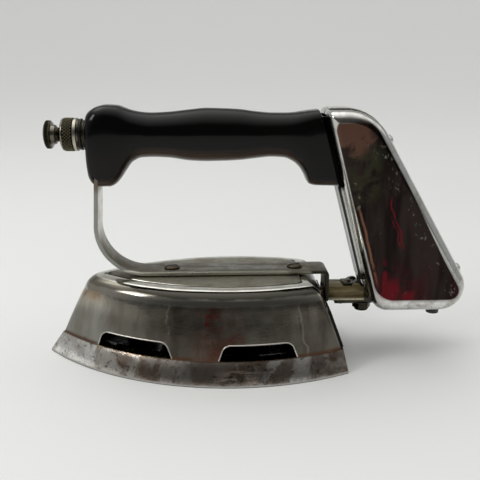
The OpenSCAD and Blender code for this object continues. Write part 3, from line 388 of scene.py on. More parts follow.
def deck_material():
    n = Nodes("deck_olive_look")
    z = n.axis(2)
    mid = n.noise(80.0, 6, 0.65, seed=9.0)
    grain = n.noise(150.0, 4, 0.65, (0.2, 1, 1), seed=5.0)
    fine = n.noise(1000.0, 3, 0.6, seed=1.0)
    color = n.mix(n.band(mid, 0.38, 0.64), (0.31, 0.295, 0.24), (0.22, 0.20, 0.15))
    color = n.mix(n.math("MULTIPLY", n.band(grain, 0.56, 0.68), 0.4), color, (0.40, 0.37, 0.29))
    # Painted shade in the crease at the deck's edge
    color = n.mix(n.band(z, 0.05250, 0.05238), color, (0.035, 0.030, 0.022))
    color = n.mix(n.math("MULTIPLY", n.band(fine, 0.64, 0.72), 0.4), color, (0.05, 0.04, 0.03))
    normal = n.bump(n.noise(30.0, 2, 0.4, seed=7), 0.25, 0.0006)
    normal = n.bump(fine, 0.10, 0.0001, normal)
    return n.finish(color, n.band(mid, 0.3, 0.72, 0.34, 0.50), normal)


def tank_material():
    n = Nodes("tank_nickel_look")
    x, y, z = n.axis(0), n.axis(1), n.axis(2)
    big = n.noise(17.0, 5, 0.6, (1, 1, 0.5), (0, -0.5, 0), distort=1.2, seed=3.0)
    streak = n.noise(60.0, 5, 0.62, (1.3, 1, 0.2), (0, -0.40, 0), distort=0.7, seed=6.0)
    mid = n.noise(85.0, 6, 0.65, distort=0.5, seed=1.5)
    spot = n.noise(230.0, 4, 0.6, seed=12.0)
    fleck = n.noise(520.0, 3, 0.6, (1, 1, 0.6), seed=14.0)
    fine = n.noise(1000.0, 3, 0.6, seed=8.0)
    # Distances from the four edges of the side
    behind = n.math("ADD", x, n.math("MULTIPLY", z, FS))
    front_d = n.math("MULTIPLY", n.math("ADD", behind, -(FRONT_X + FS * TOP_Z)), 0.964)
    front_d = n.math("ADD", front_d, n.band(z, 0.112, 0.048, -0.0020, -0.0031))
    rear_d = n.math("ADD", x, n.math("MULTIPLY", z, RS))
    rear_d = n.math("MULTIPLY", n.math("SUBTRACT", FRONT_X + TOP_LEN + RS * TOP_Z, rear_d), 0.859)
    rear_d = n.math("ADD", rear_d, n.band(z, 0.115, 0.060, -0.0039, -0.0058))
    top_d = n.math("SUBTRACT", TOP_Z - 0.0026, z)
    low_d = n.math("ADD", z, -LOW_Z - 0.0080)
    total = 0.0
    for d in (front_d, rear_d, top_d, low_d):
        part = n.math("MAXIMUM", n.math("SUBTRACT", 0.010, d), 0.0)
        total = n.math("ADD", n.math("MULTIPLY", part, part), total)
    inside = n.math("SUBTRACT", 0.010, n.math("SQRT", total))
    soft = n.band(n.math("ADD", inside, n.band(z, 0.060, 0.085, 0.0016, 0.0)), -0.0001, 0.0026)
    side = n.both(n.math("MAXIMUM", n.math("MULTIPLY", soft, 0.55), n.band(inside, -0.0001, 0.0006)),
                  n.band(n.math("ABSOLUTE", y), 0.0140, 0.0152),
                  n.band(n.math("ADD", z, n.band(mid, 0.3, 0.7, -0.0009, 0.0009)), 0.1504, 0.1462))
    # Painted dark reflection on the flat side, brown-black, with olive and maroon clouds
    dark = n.mix(n.band(streak, 0.36, 0.62), (0.0115, 0.0085, 0.008), (0.029, 0.021, 0.019))
    olive = n.both(n.within(z, 0.118, 0.010, 0.012), n.within(x, 0.101, 0.005, 0.008),
                   n.band(mid, 0.40, 0.58))
    dark = n.mix(n.math("MULTIPLY", olive, 0.75), dark, (0.036, 0.036, 0.020))
    maroon = n.math("MULTIPLY", n.band(big, 0.50, 0.62), n.band(mid, 0.36, 0.56))
    dark = n.mix(n.math("MULTIPLY", maroon, 0.6), dark, (0.036, 0.011, 0.014))
    ragged = n.band(mid, 0.3, 0.7, -0.005, 0.005)
    copper = n.both(n.band(n.math("ADD", x, ragged), 0.105, 0.099),
                    n.band(n.math("ADD", z, ragged), 0.128, 0.134), n.band(behind, 0.1205, 0.1225),
                    n.band(n.math("ADD", z, ragged), 0.153, 0.149))
    dark = n.mix(n.math("MULTIPLY", copper, 0.8), dark, (0.112, 0.058, 0.040))
    # Marks that run along the leaning front edge
    wave = n.band(n.noise(70.0, 3, 0.6, (0.02, 0.02, 1), seed=4.4), 0.25, 0.75, -0.0016, 0.0016)
    line = n.within(n.math("ADD", behind, n.math("MULTIPLY", wave, 0.3)), 0.1255, 0.0003, 0.0008)
    line = n.both(line, n.band(z, 0.047, 0.053), n.band(z, 0.102, 0.092), n.band(mid, 0.38, 0.52))
    dark = n.mix(n.math("MULTIPLY", line, 0.8), dark, (0.20, 0.095, 0.055))
    red = n.within(n.math("ADD", behind, wave), 0.1458, 0.0002, 0.0007)
    twin = n.math("MULTIPLY", n.within(n.math("ADD", behind, wave), 0.1437, 0.0001, 0.0005),
                  n.band(z, 0.094, 0.089))
    red = n.both(n.math("MAXIMUM", red, twin), n.band(z, 0.070, 0.076), n.band(z, 0.107, 0.100),
                 n.band(mid, 0.40, 0.52))
    point = n.math("ADD", x, n.math("MULTIPLY", wave, 0.8))
    low_red = n.math("MULTIPLY", n.band(z, 0.056, 0.048), n.within(point, 0.1205, 0.0025, 0.004))
    spike = n.math("MULTIPLY", n.band(z, 0.068, 0.060), n.within(point, 0.1158, 0.0006, 0.0014))
    blob = n.math("MULTIPLY", n.band(z, 0.047, 0.043), n.within(point, 0.1315, 0.002, 0.003))
    low_red = n.math("MAXIMUM", low_red, n.math("MAXIMUM", spike, blob))
    low_red = n.math("MULTIPLY", low_red, n.band(mid, 0.36, 0.52))
    haze = n.both(n.band(z, 0.070, 0.050), n.band(x, 0.150, 0.136), n.band(mid, 0.40, 0.56), 0.5)
    dark = n.mix(haze, dark, (0.048, 0.008, 0.010))
    dark = n.mix(n.math("MULTIPLY", n.math("MAXIMUM", red, low_red), 0.85), dark,
                 (0.115, 0.010, 0.015))
    # Pale flecks in three places
    here = n.math("MAXIMUM", n.math("MULTIPLY", n.within(x, 0.0975, 0.002, 0.005),
                                    n.within(z, 0.106, 0.005, 0.010)),
                  n.band(rear_d, 0.012, 0.004))
    here = n.math("MAXIMUM", here, n.math("MULTIPLY", n.within(x, 0.104, 0.002, 0.004),
                                          n.within(z, 0.138, 0.003, 0.006)))
    speck = n.both(n.band(fleck, 0.60, 0.68), here, n.band(mid, 0.46, 0.56))
    dark = n.mix(n.math("MULTIPLY", speck, 0.8), dark, (0.17, 0.165, 0.135))
    dark = n.mix(n.both(n.band(fleck, 0.64, 0.72), n.band(mid, 0.50, 0.60), 0.4), dark,
                 (0.08, 0.078, 0.060))
    rim = n.mix(n.band(mid, 0.42, 0.66), (0.57, 0.57, 0.55), (0.41, 0.40, 0.375))
    rim = n.mix(n.band(z, 0.052, 0.044), rim, n.mix(n.band(mid, 0.44, 0.60), (0.77, 0.77, 0.755),
                                                    (0.53, 0.515, 0.49)))
    low = n.math("MULTIPLY", n.band(z, 0.050, 0.036), n.band(spot, 0.52, 0.62))
    rim = n.mix(n.math("MULTIPLY", low, 0.5), rim, (0.36, 0.325, 0.29))
    # The flat side takes the painted dark reflection; the rounded rim keeps bright nickel
    color = n.mix(side, rim, dark)
    color = n.mix(n.math("MULTIPLY", n.band(fine, 0.66, 0.74), 0.25), color, (0.02, 0.016, 0.014))
    rough = n.band(mid, 0.3, 0.75, 0.08, 0.22)
    normal = n.bump(n.noise(20.0, 2, 0.4, seed=2), 0.30, 0.0009)
    normal = n.bump(n.noise(180.0, 3, 0.7, (1.4, 1, 0.15), (0, -0.5, 0), seed=4), 0.04, 0.0002,
                    normal)
    normal = n.bump(fine, 0.08, 0.0001, normal)
    return n.finish(color, rough, normal)


def sole_material():
    n = Nodes("sole_iron_look")
    x, y, z = n.axis(0), n.axis(1), n.axis(2)
    big = n.noise(34.0, 5, 0.62, (1, 1, 0.6), distort=0.9, seed=5.0)
    mid = n.noise(95.0, 6, 0.66, distort=0.5, seed=2.5)
    spot = n.noise(240.0, 5, 0.65, seed=8.0)
    fine = n.noise(620.0, 4, 0.65, seed=6.0)
    tall = n.noise(70.0, 5, 0.6, (1.3, 1.3, 0.22), (0, 0.15, 0), distort=0.5, seed=31.0)
    pale = n.mix(n.band(mid, 0.40, 0.60), (0.78, 0.77, 0.735), (0.50, 0.475, 0.435))
    brown = n.mix(n.band(mid, 0.40, 0.62), (0.30, 0.25, 0.205), (0.125, 0.090, 0.068))
    brown = n.mix(n.band(tall, 0.50, 0.62), brown, (0.36, 0.325, 0.285))
    wander = n.math("ADD", x, n.band(big, 0.3, 0.7, -0.016, 0.016))
    nose = n.band(wander, -0.046, -0.058)
    tail = n.math("MULTIPLY", n.band(wander, 0.050, 0.056), n.band(wander, 0.072, 0.066))
    color = n.mix(n.math("MAXIMUM", nose, n.math("MULTIPLY", tail, 0.7)), brown, pale)
    patch = n.math("MULTIPLY", n.band(big, 0.56, 0.64), n.band(x, -0.02, -0.05, 0.35, 1.0))
    patch = n.math("MAXIMUM", patch, n.both(n.within(wander, -0.006, 0.005, 0.006),
                                            n.band(mid, 0.62, 0.46), 0.8))
    color = n.mix(n.math("MULTIPLY", patch, 0.75), color, (0.56, 0.54, 0.50))
    # Pinkish scrapes low on the side, between the middle and the heel
    scrape = n.noise(150.0, 4, 0.6, (0.3, 1, 1.6), (0, 0.5, 0), seed=9.0)
    here = n.math("MULTIPLY", n.math("MULTIPLY", n.band(x, 0.010, 0.020), n.band(x, 0.044, 0.036)),
                  n.band(z, 0.0105, 0.0070))
    color = n.mix(n.math("MULTIPLY", here, n.band(scrape, 0.50, 0.60)), color, (0.60, 0.47, 0.41))
    heel = n.math("MULTIPLY", n.band(x, 0.066, 0.074), n.band(mid, 0.36, 0.52))
    color = n.mix(n.math("MULTIPLY", heel, 0.7), color, (0.085, 0.065, 0.055))
    color = n.mix(n.math("MULTIPLY", n.band(spot, 0.58, 0.66), 0.7), color, (0.045, 0.032, 0.026))
    color = n.mix(n.math("MULTIPLY", n.band(fine, 0.62, 0.70), 0.6), color, (0.03, 0.022, 0.018))
    color = n.mix(n.band(z, 0.0019, 0.0011), color, (0.44, 0.43, 0.41))
    color = n.mix(n.band(z, 0.0005, 0.0003), color, (0.12, 0.10, 0.085))
    top = n.band(z, 0.0128, 0.0133)
    color = n.mix(n.math("MULTIPLY", top, 0.75), color, (0.085, 0.050, 0.030))
    gold = n.math("MULTIPLY", n.band(x, -0.062, -0.056), n.band(x, -0.012, -0.018))
    gold = n.math("MULTIPLY", n.math("MULTIPLY", gold, top), n.band(spot, 0.55, 0.62))
    color = n.mix(gold, color, (0.55, 0.42, 0.20))
    # Soot on the part that the shell covers
    reach = n.math("ADD", n.math("ABSOLUTE", y), SIDE_C)
    reach = n.math("ADD", n.math("MULTIPLY", reach, reach),
                   n.math("POWER", n.math("ADD", x, -WIDEST_X), 2.0))
    reach = n.math("SQRT", reach)
    hidden = n.math("MULTIPLY", n.band(reach, SIDE_R - 0.0076, SIDE_R - 0.0084),
                    n.band(z, 0.0010, 0.0020))
    ledge = n.both(n.band(reach, SIDE_R - 0.0135, SIDE_R - 0.0110), n.band(x, -0.008, -0.014))
    brassy = n.mix(n.band(spot, 0.54, 0.62), (0.075, 0.048, 0.020), (0.60, 0.46, 0.22))
    color = n.mix(hidden, color, n.mix(ledge, (0.006, 0.005, 0.004), brassy))
    rough = n.band(mid, 0.3, 0.7, 0.12, 0.34)
    normal = n.bump(n.noise(46.0, 2, 0.4, seed=3), 0.3, 0.0006)
    normal = n.bump(mid, 0.12, 0.0003, normal)
    normal = n.bump(spot, 0.15, 0.0002, normal)
    normal = n.bump(fine, 0.22, 0.0002, normal)
    return n.finish(color, rough, normal)


def bar_material():
    n = Nodes("bar_nickel_look")
    x, y, z = n.axis(0), n.axis(1), n.axis(2)
    mid = n.noise(60.0, 6, 0.62, distort=0.4, seed=3.0)
    grain = n.noise(160.0, 4, 0.65, (0.25, 1, 1), seed=6.0)
    fine = n.noise(900.0, 3, 0.6, seed=2.0)
    low = n.mix(n.band(mid, 0.38, 0.62), (0.185, 0.172, 0.132), (0.115, 0.100, 0.074))
    high = n.mix(n.band(mid, 0.40, 0.66), (0.80, 0.80, 0.76), (0.60, 0.58, 0.52))
    color = n.mix(n.band(z, 0.0700, 0.0880), low, high)
    face = n.add("ShaderNodeSeparateXYZ")
    n.wire(n.coord.outputs["Normal"], face.inputs[0])
    cut_edge = n.band(n.math("ABSOLUTE", face.outputs[1]), 0.75, 0.92)
    sheared = n.mix(n.math("MULTIPLY", n.band(x, -0.026, -0.034), n.band(z, 0.0560, 0.0575)),
                    (0.76, 0.74, 0.65), (0.25, 0.245, 0.225))
    sheared = n.mix(n.band(z, 0.0640, 0.0740), sheared, (0.29, 0.285, 0.265))
    sheared = n.mix(n.band(x, 0.0560, 0.0620), sheared, (0.30, 0.28, 0.22))
    color = n.mix(cut_edge, color, sheared)
    # Rust-brown near the top of the strap, darkened further as painted shadow of the handle
    color = n.mix(n.both(n.band(z, 0.103, 0.110), n.band(mid, 0.36, 0.54), 0.8), color,
                  (0.13, 0.095, 0.07))
    color = n.mix(n.math("MULTIPLY", n.band(grain, 0.56, 0.68), 0.5), color, (0.30, 0.28, 0.23))
    color = n.mix(n.math("MULTIPLY", n.band(fine, 0.64, 0.72), 0.45), color, (0.05, 0.04, 0.03))
    color = n.mix(n.math("MULTIPLY", n.edge(), 0.35), color, (0.46, 0.44, 0.38))
    # Painted shade on the rear bend and tab
    painted_tab_shade = n.math("MULTIPLY", n.band(x, 0.0715, 0.0745), n.band(z, 0.0562, 0.0545))
    color = n.mix(n.math("MULTIPLY", painted_tab_shade, 0.95), color, (0.016, 0.014, 0.010))
    normal = n.bump(n.noise(40.0, 2, 0.4, seed=9), 0.2, 0.0004)
    normal = n.bump(grain, 0.06, 0.0002, normal)
    normal = n.bump(fine, 0.10, 0.0001, normal)
    return n.finish(color, n.band(mid, 0.3, 0.72, 0.24, 0.44), normal)


def handle_material():
    n = Nodes("handle_black_look")
    mid = n.noise(60.0, 4, 0.6, (0.3, 1, 1), seed=3.0)
    fine = n.noise(700.0, 3, 0.6, (0.25, 1, 1), seed=5.0)
    z = n.axis(2)
    wear = n.math("MULTIPLY", n.band(fine, 0.62, 0.72), n.edge(0.505, 0.54))
    color = n.mix(n.band(mid, 0.4, 0.7), (0.0005, 0.0005, 0.0005), (0.0014, 0.0011, 0.0010))
    warm = n.math("MULTIPLY", n.band(z, 0.138, 0.126), n.band(mid, 0.35, 0.6))
    color = n.mix(n.math("MULTIPLY", warm, 0.6), color, (0.0060, 0.0030, 0.0022))
    color = n.mix(n.math("MULTIPLY", wear, 0.5), color, (0.06, 0.05, 0.042))
    face = n.add("ShaderNodeSeparateXYZ")
    n.wire(n.coord.outputs["Normal"], face.inputs[0])
    # Faces that look down get a brown painted reflection of the floor
    painted_underside_reflection = n.both(n.band(face.outputs[2], -0.30, -0.75), n.band(mid, 0.20, 0.60, 1.0, 0.6))
    color = n.mix(painted_underside_reflection, color, (0.070, 0.047, 0.037))
    rough = n.band(mid, 0.3, 0.75, 0.07, 0.17)
    normal = n.bump(n.noise(34.0, 2, 0.4, (0.5, 1, 1), seed=8), 0.2, 0.0006)
    normal = n.bump(fine, 0.05, 0.0001, normal)
    return n.finish(color, rough, normal, metallic=0.0, Specular_IOR_Level=0.2)


def support_material():
    n = Nodes("support_nickel_look")
    y, z = n.axis(1), n.axis(2)
    mid = n.noise(60.0, 6, 0.62, (1, 1, 0.4), distort=0.4, seed=2.0)
    fine = n.noise(900.0, 3, 0.6, seed=2.5)
    color = n.mix(n.band(mid, 0.38, 0.62), (0.040, 0.038, 0.036), (0.024, 0.021, 0.020))
    # A painted highlight along the near edge next to the tank's front
    ahead = n.math("ADD", n.axis(0), n.math("MULTIPLY", z, FS))
    ahead = n.math("ADD", ahead, -(FRONT_X + FS * TOP_Z))
    color = n.mix(n.math("MULTIPLY", n.band(ahead, -0.0016, -0.0011), n.band(y, 0.0, -0.004)), color,
                  (0.78, 0.78, 0.74))
    color = n.mix(n.band(z, 0.058, 0.052), color, (0.020, 0.018, 0.010))
    color = n.mix(n.band(z, 0.104, 0.109), color, (0.003, 0.0026, 0.0025))
    color = n.mix(n.math("MULTIPLY", n.band(fine, 0.62, 0.72), 0.4), color, (0.02, 0.016, 0.014))
    normal = n.bump(n.noise(40.0, 2, 0.4, seed=9), 0.2, 0.0004)
    normal = n.bump(fine, 0.10, 0.0001, normal)
    return n.finish(color, n.band(mid, 0.3, 0.72, 0.16, 0.34), normal)


def arm_material():
    n = Nodes("arm_olive_look")
    y, z = n.axis(1), n.axis(2)
    mid = n.noise(90.0, 6, 0.62, (0.35, 1, 1), distort=0.4, seed=3.0)
    grain = n.noise(260.0, 4, 0.65, (0.08, 1, 1), seed=6.0)
    fine = n.noise(900.0, 3, 0.6, seed=2.5)
    color = n.mix(n.band(mid, 0.38, 0.62), (0.155, 0.120, 0.060), (0.090, 0.070, 0.034))
    color = n.mix(n.math("MULTIPLY", n.band(grain, 0.52, 0.64), 0.6), color, (0.26, 0.21, 0.12))
    color = n.mix(n.math("MULTIPLY", n.band(grain, 0.46, 0.36), 0.5), color, (0.045, 0.035, 0.020))
    # A painted highlight along the near lower lip
    color = n.mix(n.both(n.band(z, 0.0371, 0.0366), n.band(y, -0.005, -0.007)), color,
                  (0.46, 0.42, 0.30))
    color = n.mix(n.math("MULTIPLY", n.band(fine, 0.60, 0.70), 0.5), color, (0.03, 0.024, 0.014))
    normal = n.bump(grain, 0.15, 0.0002)
    normal = n.bump(fine, 0.12, 0.0001, normal)
    return n.finish(color, n.band(mid, 0.3, 0.72, 0.26, 0.46), normal)


def turned_material(name, zones, crest_r, groove, seed):
    """Turned metal: colours by place along the pump, and painted shade in the grooves below a radius."""
    n = Nodes(name)
    x, y, z = n.axis(0), n.axis(1), n.axis(2)
    mid = n.noise(150.0, 6, 0.62, seed=seed)
    fine = n.noise(900.0, 3, 0.6, seed=seed + 2)
    color = zones[0][1]
    for at, value in zones[1:]:
        color = n.mix(n.band(x, at - 0.0001, at + 0.0001), color, value)
    color = n.mix(n.math("MULTIPLY", n.band(mid, 0.42, 0.64), 0.55), color,
                  [c * 0.45 for c in zones[0][1]])
    up = n.math("ADD", z, -PUMP_Z)
    r = n.math("SQRT", n.math("ADD", n.math("MULTIPLY", up, up), n.math("MULTIPLY", y, y)))
    painted_groove_shade = n.math("MULTIPLY", n.band(r, crest_r - 0.00006, crest_r - 0.00024),
                  n.both(n.band(x, groove[0] - 0.0001, groove[0] + 0.0001),
                         n.band(x, groove[1] + 0.0001, groove[1] - 0.0001)))
    color = n.mix(painted_groove_shade, color, (0.006, 0.005, 0.0035))
    color = n.mix(n.math("MULTIPLY", n.band(fine, 0.62, 0.72), 0.4), color, (0.01, 0.008, 0.006))
    normal = n.bump(fine, 0.10, 0.0001)
    return n.finish(color, n.band(mid, 0.3, 0.72, 0.18, 0.36), normal)


def soot_material():
    n = Nodes("soot_look")
    mid = n.noise(120.0, 4, 0.6, seed=4.0)
    fine = n.noise(900.0, 3, 0.6, seed=2.0)
    color = n.mix(n.band(mid, 0.4, 0.7), (0.0004, 0.0004, 0.0004), (0.0016, 0.0011, 0.0009))
    normal = n.bump(fine, 0.2, 0.0001)
    return n.finish(color, n.band(mid, 0.3, 0.7, 0.6, 0.85), normal, metallic=0.0,
                    Specular_IOR_Level=0.1)


def plain_black(name, base, light, rough):
    n = Nodes(name)
    mid = n.noise(240.0, 4, 0.6, seed=4.0)
    fine = n.noise(1200.0, 3, 0.6, seed=2.0)
    color = n.mix(n.band(mid, 0.4, 0.7), base, light)
    color = n.mix(n.math("MULTIPLY", n.edge(), 0.35), color, [c * 3 + 0.03 for c in light])
    normal = n.bump(fine, 0.2, 0.0001)
    return n.finish(color, n.band(mid, 0.3, 0.7, rough - 0.08, rough + 0.12), normal, metallic=0.0)


def leather_material():
    n = Nodes("leather_look")
    mid = n.noise(400.0, 5, 0.6, seed=1.0)
    cell = n.add("ShaderNodeTexVoronoi")
    cell.inputs["Scale"].default_value = 1400.0
    n.wire(n.coord.outputs["Object"], cell.inputs["Vector"])
    color = n.mix(n.band(mid, 0.35, 0.65), (0.20, 0.09, 0.04), (0.11, 0.05, 0.025))
    normal = n.bump(cell.outputs["Distance"], 0.3, 0.0002)
    return n.finish(color, n.band(mid, 0.3, 0.7, 0.45, 0.7), normal, metallic=0.0)


M = {
    "shell": shell_material(),
    "deck": deck_material(),
    "tank": tank_material(),
    "sole": sole_material(),
    "bar": bar_material(),
    "handle": handle_material(),
    "soot": soot_material(),
    "lip": worn_metal("lip_nickel_look", (0.50, 0.48, 0.44), (0.30, 0.27, 0.22),
                      (0.08, 0.06, 0.045), (0.2, 0.4), 90.0, (0.46, 0.64), seed=13.0),
    "band": worn_metal("band_nickel_look", (0.80, 0.77, 0.70), (0.58, 0.54, 0.47),
                       (0.10, 0.08, 0.06), (0.14, 0.32), 45.0, (0.50, 0.68), seed=14.0),
    "support": support_material(),
    "arm": arm_material(),
    "screw": worn_metal("screw_steel_look", (0.070, 0.054, 0.036), (0.040, 0.026, 0.017),
                        (0.012, 0.009, 0.007), (0.25, 0.45), 120.0, (0.4, 0.6), seed=4.0),
    "brass": worn_metal("brass_look", (0.42, 0.31, 0.14), (0.22, 0.15, 0.065),
                        (0.06, 0.042, 0.025), (0.25, 0.5), 110.0, (0.42, 0.62), seed=5.0),
    "olive": worn_metal("olive_brass_look", (0.030, 0.026, 0.013), (0.018, 0.015, 0.008),
                        (0.006, 0.005, 0.004), (0.25, 0.45), 110.0, (0.42, 0.62), seed=17.0),
    "pump": worn_metal("pump_brass_look", (0.055, 0.049, 0.030), (0.030, 0.026, 0.015),
                       (0.008, 0.007, 0.005), (0.22, 0.42), 120.0, (0.42, 0.6), seed=6.0),
    "pump_bright": worn_metal("pump_bright_look", (0.20, 0.185, 0.145), (0.11, 0.097, 0.068),
                              (0.02, 0.017, 0.012), (0.16, 0.36), 120.0, (0.46, 0.64), seed=7.0),
    "pump_cream": turned_material("pump_cream_look", (
        (0, (0.46, 0.43, 0.35)), (CAP_REAR - 0.0011, (0.030, 0.027, 0.018))), 0.0, (0.0, 0.0), 15.0),
    "knurl": turned_material("pump_knurl_look", ((0, (0.22, 0.195, 0.12)),), CAP_R,
                             (-0.09, -0.06), 6.0),
    "knob_metal": turned_material("pump_knob_look", (
        (0, (0.080, 0.071, 0.047)), (KNOB_FRONT + KNOB_RIM, (0.19, 0.18, 0.145)),
        (KNOB_FRONT + 0.0066, (0.028, 0.025, 0.016)), (KNOB_FRONT + 0.0087, (0.075, 0.066, 0.045))),
        KNOB_R, (KNOB_FRONT + 0.0012, KNOB_FRONT + 0.0032), 16.0),
    "tube": worn_metal("tube_copper_look", (0.30, 0.19, 0.12), (0.15, 0.09, 0.06),
                       (0.04, 0.032, 0.027), (0.3, 0.55), 90.0, (0.4, 0.6), seed=8.0),
    "burner": worn_metal("burner_iron_look", (0.010, 0.009, 0.008), (0.016, 0.009, 0.006),
                         (0.004, 0.0035, 0.003), (0.5, 0.8), 90.0, (0.45, 0.6), pits=0.6, seed=9.0),
    "heel": worn_metal("heel_dark_look", (0.008, 0.006, 0.005), (0.010, 0.005, 0.004),
                       (0.004, 0.0035, 0.003), (0.35, 0.6), 70.0, (0.42, 0.6), seed=10.0),
    "ring": worn_metal("ring_dark_look", (0.006, 0.0055, 0.004), (0.010, 0.008, 0.005),
                       (0.002, 0.0018, 0.0015), (0.3, 0.5), 150.0, seed=11.0),
    "rod": worn_metal("rod_steel_look", (0.50, 0.485, 0.45), (0.36, 0.32, 0.27),
                      (0.12, 0.095, 0.075), (0.12, 0.3), 90.0, (0.5, 0.7), (0.2, 1, 1), seed=12.0),
    "knob": plain_black("knob_black_look", (0.008, 0.0075, 0.007), (0.018, 0.016, 0.014), 0.30),
    "seal": plain_black("seal_look", (0.03, 0.026, 0.022), (0.06, 0.05, 0.04), 0.6),
    "leather": leather_material(),
}


# Body shell
def leaf(inset, heel_inset, tip_r, corner_r, na=56, nc=8, nt=16):
    r = SIDE_R - inset
    tip_x = WIDEST_X - math.sqrt((r - tip_r) ** 2 - SIDE_C ** 2)
    end_x = HEEL_X - heel_inset
    cx = end_x - corner_r
    cy = math.sqrt((r - corner_r) ** 2 - (cx - WIDEST_X) ** 2) - SIDE_C
    a = math.atan2(-SIDE_C, tip_x - WIDEST_X)
    b = math.atan2(-cy - SIDE_C, cx - WIDEST_X)
    pts = []

    def arc(c0, c1, rr, t0, t1, n):
        for i in range(n):
            t = t0 + (t1 - t0) * i / n
            pts.append((c0 + rr * math.cos(t), c1 + rr * math.sin(t)))

    arc(WIDEST_X, SIDE_C, r, a, b, na)
    arc(cx, -cy, corner_r, b, 0, nc)
    for i in range(12):
        pts.append((end_x, -cy + 2 * cy * i / 12))
    arc(cx, cy, corner_r, 0, -b, nc)
    arc(WIDEST_X, -SIDE_C, r, -b, -a, na)
    arc(tip_x, 0, tip_r, -a, 2 * math.pi + a, nt)
    return pts


def wall_inset(z):
    return SHELL_BASE + WALL_LEAN * (z - SOLE_T)


def skin_inset(z, base, lean, shrink):
    """Inset at a height: a leaning wall, then a round shoulder up to the deck."""
    a = math.atan(lean)
    r = SHOULDER_R - shrink
    up = z - DECK_H + SHOULDER_R
    start_z = DECK_H - SHOULDER_R * (1 - math.sin(a))
    if up < r * math.sin(a):
        return base + lean * (z - SOLE_T) + shrink / math.cos(a)
    centre = base + lean * (start_z - SOLE_T) + SHOULDER_R * math.cos(a)
    return centre - math.sqrt(max(0.0, r * r - up * up))


def shell_rings(shrink, low_z, steps):
    lean_a = math.atan(WALL_LEAN)
    high_z = DECK_H - SHOULDER_R + (SHOULDER_R - shrink) * math.sin(lean_a)
    heights = [low_z + (high_z - low_z) * i / 10 for i in range(10)]
    for i in range(steps + 1):
        a = lean_a + (math.pi / 2 - lean_a) * i / steps
        heights.append(DECK_H - SHOULDER_R + (SHOULDER_R - shrink) * math.sin(a))
    rings = []

    def ring(z, more=0.0, lift=0.0):
        side = skin_inset(z, SHELL_BASE, WALL_LEAN, shrink) + more
        heel = skin_inset(z, HEEL_BASE, HEEL_WALL_LEAN, shrink) + more
        grow = min(1.0, (z - SOLE_T) / (START_Z - SOLE_T))
        tip = (NOSE_LOW_R + (NOSE_HIGH_R - NOSE_LOW_R) * grow
               - 0.6 * max(0.0, side - wall_inset(START_Z)) - shrink)
        fade = lambda x: min(1.0, max(0.0, (x + 0.058) / 0.022))
        rings.append([(x, y, z + lift * fade(x)) for x, y in
                      leaf(side, heel, max(tip, 0.0006), max(CORNER_R - shrink, 0.001))])

    for z in heights:
        ring(z)
    if shrink == 0:
        # A crease along the shoulder and a slightly raised deck inside it
        for more, lift in ((CREASE_IN - 0.0006, 0.0), (CREASE_IN, -0.00012),
                           (CREASE_IN + 0.0005, -0.00016), (CREASE_IN + 0.0009, 0.00006),
                           (CREASE_IN + 0.0014, 0.00022), (CREASE_IN + 0.0022, 0.00028),
                           (CREASE_IN + 0.0050, 0.00028)):
            ring(DECK_H, more, lift)
    return rings


def window_outline(x, grow=0.0):
    """Points of an air opening, seen from the side, from its rear foot to its front foot."""
    half, slant, r = 0.023 + grow, 0.003, 0.0055 + grow
    z0, z1 = SOLE_T - 0.001, SOLE_T + 0.009 + grow
    pts = [(x + half, z0)]
    for sign in (1, -1):
        corner = Vector((sign * (half - slant), z1))
        foot = Vector((sign * half, z0))
        other = Vector((-sign * (half - slant), z1))
        u, v = (foot - corner).normalized(), (other - corner).normalized()
        h = u.angle(v) / 2
        c = corner + (u + v).normalized() * r / math.sin(h)
        s, e = corner + u * r / math.tan(h) - c, corner + v * r / math.tan(h) - c
        if sign < 0:
            s, e = e, s
        a0, a1 = math.atan2(s.y, s.x), math.atan2(e.y, e.x)
        turn = (a1 - a0 + math.pi) % (2 * math.pi) - math.pi
        for i in range(13):
            t = a0 + turn * i / 12
            pts.append((x + c.x + r * math.cos(t), c.y + r * math.sin(t)))
    pts.append((x - half, z0))
    return pts


def cutter_y(points, y0, y1):
    rings = [[(x, y, z) for x, z in points] for y in (y0, y1)]
    return from_rings("cutter", rings)


def on_deck(x, y):
    """Whether a point of the top lies inside the crease."""
    inset = SIDE_R - math.hypot(x - WIDEST_X, abs(y) + SIDE_C)
    back = HEEL_X - x
    side = skin_inset(DECK_H, SHELL_BASE, WALL_LEAN, 0.0)
    heel = skin_inset(DECK_H, HEEL_BASE, HEEL_WALL_LEAN, 0.0)
    return inset > side + CREASE_IN - 0.0002 and back > heel + CREASE_IN - 0.0002


def inner_materials(obj, low, high):
    """Gives the deck its own material, and the faces towards the hollow a sooty one."""
    obj.data.materials.append(M["soot"])
    obj.data.materials.append(M["deck"])
    for face in obj.data.polygons:
        c = face.center
        if face.normal.z > 0.9 and c.z > DECK_H - 0.0002 and on_deck(c.x, c.y):
            face.material_index = 2
        axis_point = Vector((min(max(c.x, low), high), 0.0, 0.025))
        out = c - axis_point
        if out.length > 1e-6 and face.normal.dot(out.normalized()) < -0.15:
            face.material_index = 1


